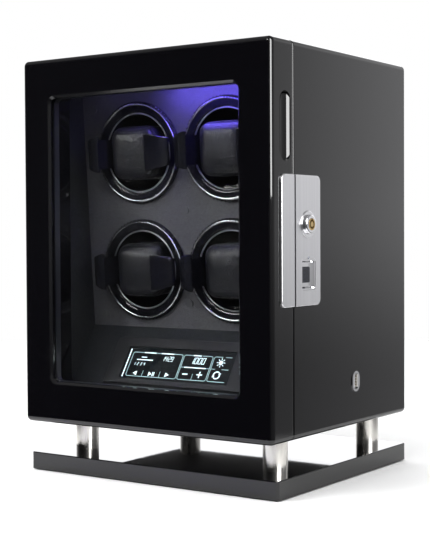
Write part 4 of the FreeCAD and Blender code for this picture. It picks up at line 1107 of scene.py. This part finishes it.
def swell(form):
    """Blows the cover up with cloth pressure, and caps how far any point moves."""
    start = [vert.co.copy() for vert in form.data.vertices]
    cloth = form.modifiers.new("cover", "CLOTH")
    settings = cloth.settings
    settings.quality = 6
    settings.mass = 0.15
    settings.tension_stiffness = 12
    settings.compression_stiffness = 12
    settings.bending_stiffness = 0.4
    settings.use_pressure = True
    settings.uniform_pressure_force = 4.0
    settings.effector_weights.gravity = 0.0
    cloth.point_cache.frame_start = 1
    cloth.point_cache.frame_end = SWELL_FRAMES
    for step in range(SWELL_FRAMES):
        bpy.context.scene.frame_set(step + 1)
    blown = baked(form)
    form.modifiers.clear()
    reach = 0.0
    for vert, was, now in zip(form.data.vertices, start, blown.vertices):
        move = now.co - was
        reach = max(reach, move.length)
        if move.length > SWELL:
            move *= SWELL / move.length
        vert.co = was + move
    bpy.context.scene.frame_set(1)
    return reach


print("farthest swell mm", round(swell(form) / MM, 2))


# %% Cushion crown and waist
CROWN = 0.0016
CROWN_LIFT = 0.0004
CROWN_REACH = 0.008
# Share drawn in, depth of the middle and half width, for the waist and for the seam.
WAIST = (0.035, 0.010, 0.013)
SEAM = (0.030, WELT_DEPTH, 0.0014)


def drawn_in(depth, share, middle, half_width):
    return 1 - share * math.exp(-(((depth - middle) / half_width) ** 2))


def crown(mesh):
    """Crowns the front, draws the sides in between corners, and sinks the seam line."""
    for vert in mesh.vertices:
        x, z = vert.co.x / CUSHION_HALF, vert.co.z / CUSHION_HALF
        frontness = max(0.0, min(1.0, (WELT_DEPTH - vert.co.y) / CROWN_REACH))
        dome = max(0.0, 1 - x * x) * max(0.0, 1 - z * z)
        vert.co.y += CROWN * frontness * (1 - dome) - CROWN_LIFT * frontness
        narrow = drawn_in(vert.co.y, *WAIST) * drawn_in(vert.co.y, *SEAM)
        vert.co.x *= narrow
        vert.co.z *= narrow
        vert.co.y = min(max(vert.co.y, CUSHION_FRONT), CUSHION_BACK)


smooth_cover = form.modifiers.new("fine", "SUBSURF")
smooth_cover.levels = 2
smooth_cover.render_levels = 2
cushion_mesh = baked(form)
bpy.data.objects.remove(form)
crown(cushion_mesh)
cushion_mesh.shade_smooth()
print("cushion points", len(cushion_mesh.vertices))


# %% Welt path
RAY_FROM = 0.06


def welt_path(mesh, depth, count=72):
    """Points round the cushion's skin at one depth, found by rays from outside."""
    tree = BVHTree.FromPolygons(
        [vert.co for vert in mesh.vertices], [poly.vertices[:] for poly in mesh.polygons]
    )
    points = []
    for x, z in circle(count):
        out = Vector((x, 0, z))
        hit = tree.ray_cast(Vector((0, depth, 0)) + out * RAY_FROM, -out)
        points.append(hit[0])
    return points


def add_tube(work, points, tube_r, section=8):
    """A closed tube of round section along a loop of points about Y."""
    rings = []
    for index, spot in enumerate(points):
        along = (points[(index + 1) % len(points)] - points[index - 1]).normalized()
        side = along.cross(Vector((0, 1, 0))).normalized()
        rings.append([
            work.verts.new(spot + side * tube_r * out + Vector((0, tube_r * down, 0)))
            for out, down in circle(section)
        ])
    skin(work, rings, looped=True)


welt_points = welt_path(cushion_mesh, WELT_DEPTH)
welt_length = sum((a - b).length for a, b in zip(welt_points, welt_points[1:]))
print("welt length mm", round(welt_length / MM))


# %% Stitches
STITCH_GAP = 0.0026
STITCH_HALF = Vector((0.00085, 0.00022, 0.00018))
STITCH_FACES = (
    (0, 1, 3, 2), (4, 6, 7, 5), (0, 4, 5, 1), (2, 3, 7, 6), (1, 5, 7, 3), (0, 2, 6, 4)
)
stitch_points = welt_path(cushion_mesh, WELT_DEPTH + 0.0026)


def add_stitches(work):
    """Short thread ends laid along a loop, centred on the skin."""
    points = stitch_points
    total = sum((points[i] - points[i - 1]).length for i in range(len(points)))
    number_stitches = int(total / STITCH_GAP)
    for index in range(number_stitches):
        share = index / number_stitches * len(points)
        first = points[int(share) % len(points)]
        second = points[(int(share) + 1) % len(points)]
        spot = first.lerp(second, share % 1)
        along = (second - first).normalized()
        out = Vector((spot.x, 0, spot.z)).normalized()
        across = along.cross(out).normalized()
        outline = [
            spot + along * STITCH_HALF.x * a + across * STITCH_HALF.y * b + out * STITCH_HALF.z * c
            for a in (-1, 1) for b in (-1, 1) for c in (-1, 1)
        ]
        verts = [work.verts.new(point) for point in outline]
        for face in STITCH_FACES:
            work.faces.new([verts[k] for k in face])


def add_welt(work):
    add_tube(work, welt_points, WELT_R)


print("stitch loop points", len(stitch_points))


# %% Place cushions
for number_of in ROTORS:
    axes = rotor_axes(number_of)
    mesh = cushion_mesh.copy()
    mesh.transform(axes)
    mesh.materials.clear()
    mesh.materials.append(SOFT_LEATHER)
    pad = bpy.data.objects.new(f"watch_cushion_{number_of}", mesh)
    link(pad)
    body = f"pad_{number_of}"
    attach(pad, body)
    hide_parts(f"cushion_{number_of}")
    piece(f"cushion_welt_{number_of}", add_welt, body, SOFT_LEATHER, axes)
    piece(
        f"cushion_stitches_{number_of}", add_stitches, body, THREAD, axes,
        smooth=False,
    )
print("cushions placed", len(ROTORS))

# %% [markdown]
# ## Lock trim
# The lock plate carries a fingerprint reader: a dark glass pad in a chrome well, with a curved
# ramp behind it that guides the fingertip. A pin-sized lamp above shows whether it read.

# %% Reader and lamp
low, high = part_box("fingerprint_sensor")
TRAY_MIDDLE = (low + high) / 2
PLATE_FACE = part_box("lock_plate_cabinet")[1].x
WELL_HALF_Y = (high.y - low.y) / 2 - 0.0026
WELL_HALF_Z = (high.z - low.z) / 2 - 0.0026
WELL_DEEP = 0.0018
PAD_FRONT = TRAY_MIDDLE.y - WELL_HALF_Y
PAD_BACK = PAD_FRONT + 0.0113
PAD_HALF_H = 0.0062
PAD_T = 0.0008
PAD_CLIP = 0.0009
RAMP_STEPS = 14
RAMP_GAP = 0.0006
RAMP_CURVE = 1.9


def add_reader_pad(work):
    """A thin dark glass with clipped corners on the floor of the well."""
    clip = PAD_CLIP
    a, b = PAD_FRONT, PAD_BACK
    c, d = TRAY_MIDDLE.z - PAD_HALF_H, TRAY_MIDDLE.z + PAD_HALF_H
    outline = [
        (a + clip, c), (b - clip, c), (b, c + clip), (b, d - clip),
        (b - clip, d), (a + clip, d), (a, d - clip), (a, c + clip),
    ]
    add_prism(work, outline, 0.0, PAD_T)


def add_reader_ramp(work):
    """A concave ramp from the pad up to the well's rear edge."""
    low_z = TRAY_MIDDLE.z - WELL_HALF_Z + RAMP_GAP
    high_z = TRAY_MIDDLE.z + WELL_HALF_Z - RAMP_GAP
    run = TRAY_MIDDLE.y + WELL_HALF_Y - PAD_BACK
    rings = []
    for step in range(RAMP_STEPS + 1):
        share = step / RAMP_STEPS
        rise = (WELL_DEEP - 0.0002) * share ** RAMP_CURVE + 0.0001
        rings.append([
            work.verts.new((PAD_BACK + run * share, z, up))
            for z, up in rectangle(low_z, high_z, 0.0, rise)
        ])
    skin(work, rings)


def outwards(x):
    """Axes for a drawing on the right side: first along Y, then up Z, then out along X."""
    return axes_at(Vector((x, 0, 0)), Vector((0, 1, 0)), Vector((0, 0, 1)), ACROSS)


well_floor = outwards(PLATE_FACE - WELL_DEEP)
piece("reader_pad", add_reader_pad, "cabinet", SENSOR, well_floor)
piece("reader_ramp", add_reader_ramp, "cabinet", CHROME, well_floor)
print("reader at", [round(value / MM, 1) for value in TRAY_MIDDLE])


# %% Lock lamp
LAMP_MIDDLE = (TRAY_MIDDLE.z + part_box("key_cylinder")[0].z) / 2 - 0.0012
# Radius and height of the dome's rings, from the foot up, and the height of its top.
LAMP_PROFILE = ((0.0012, -0.0003), (0.0012, 0.0), (0.0010, 0.00036), (0.0006, 0.00058))
LAMP_TOP = 0.00065


def add_lamp(work):
    """A low dome of round section, as a moulded lens is."""
    rings = [
        [
            work.verts.new((TRAY_MIDDLE.y + radius * x, LAMP_MIDDLE + radius * z, up))
            for x, z in circle(20)
        ]
        for radius, up in LAMP_PROFILE
    ]
    skin(work, rings, ends=False)
    top = work.verts.new((TRAY_MIDDLE.y, LAMP_MIDDLE, LAMP_TOP))
    for first, second in zip(rings[-1], rings[-1][1:] + rings[-1][:1]):
        work.faces.new((top, first, second))
    work.faces.new(rings[0][::-1])


piece("lock_lamp", add_lamp, "cabinet", LAMP_LENS, outwards(PLATE_FACE))
print("lamp height mm", round(LAMP_MIDDLE / MM, 1))

# %% [markdown]
# ## Socket tongue and jack pin
# The USB socket has a white tongue with contacts, and the round power inlet at the back has a
# pin in its middle. Both are small, but they are what makes a socket read as one.

# %% USB tongue
low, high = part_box("usb_port")
USB_MIDDLE = (low + high) / 2
TONGUE_HALF_W, TONGUE_HALF_H = 0.0009, 0.0052
CONTACT_PITCH, CONTACT_HALF_W, CONTACT_T = 0.0024, 0.0006, 0.00015


def add_tongue(work):
    y, z = USB_MIDDLE.y, USB_MIDDLE.z
    outline = rectangle(
        y - TONGUE_HALF_W, y + TONGUE_HALF_W, z - TONGUE_HALF_H, z + TONGUE_HALF_H
    )
    add_prism(work, outline, -0.0105, -0.0016)


def add_contacts(work):
    y = USB_MIDDLE.y + TONGUE_HALF_W
    for index in range(4):
        z = USB_MIDDLE.z + (index - 1.5) * CONTACT_PITCH
        outline = rectangle(y, y + CONTACT_T, z - CONTACT_HALF_W, z + CONTACT_HALF_W)
        add_prism(work, outline, -0.0100, -0.0022)


usb_axes = outwards(high.x)
piece("usb_tongue", add_tongue, "cabinet", ACETAL, usb_axes)
piece("usb_contacts", add_contacts, "cabinet", BRASS, usb_axes)
print("usb at", [round(value / MM, 1) for value in USB_MIDDLE])


# %% Jack pin
low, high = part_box("dc_jack")
JACK_MIDDLE = (low + high) / 2
# Radius and depth of the pin's rings, from its root to its rounded tip.
PIN_PROFILE = ((0.00105, -0.0090), (0.00105, -0.0018), (0.00085, -0.0012), (0.0004, -0.0009))


def add_pin(work):
    """A pin with a rounded tip, turned about Y."""
    x, z = JACK_MIDDLE.x, JACK_MIDDLE.z
    skin(work, [
        [
            work.verts.new((x + radius * across, high.y + depth, z + radius * up))
            for across, up in circle(20)
        ]
        for radius, depth in PIN_PROFILE
    ])


piece("jack_pin", add_pin, "cabinet", CHROME)
print("jack at", [round(value / MM, 1) for value in JACK_MIDDLE])

# %% Finish
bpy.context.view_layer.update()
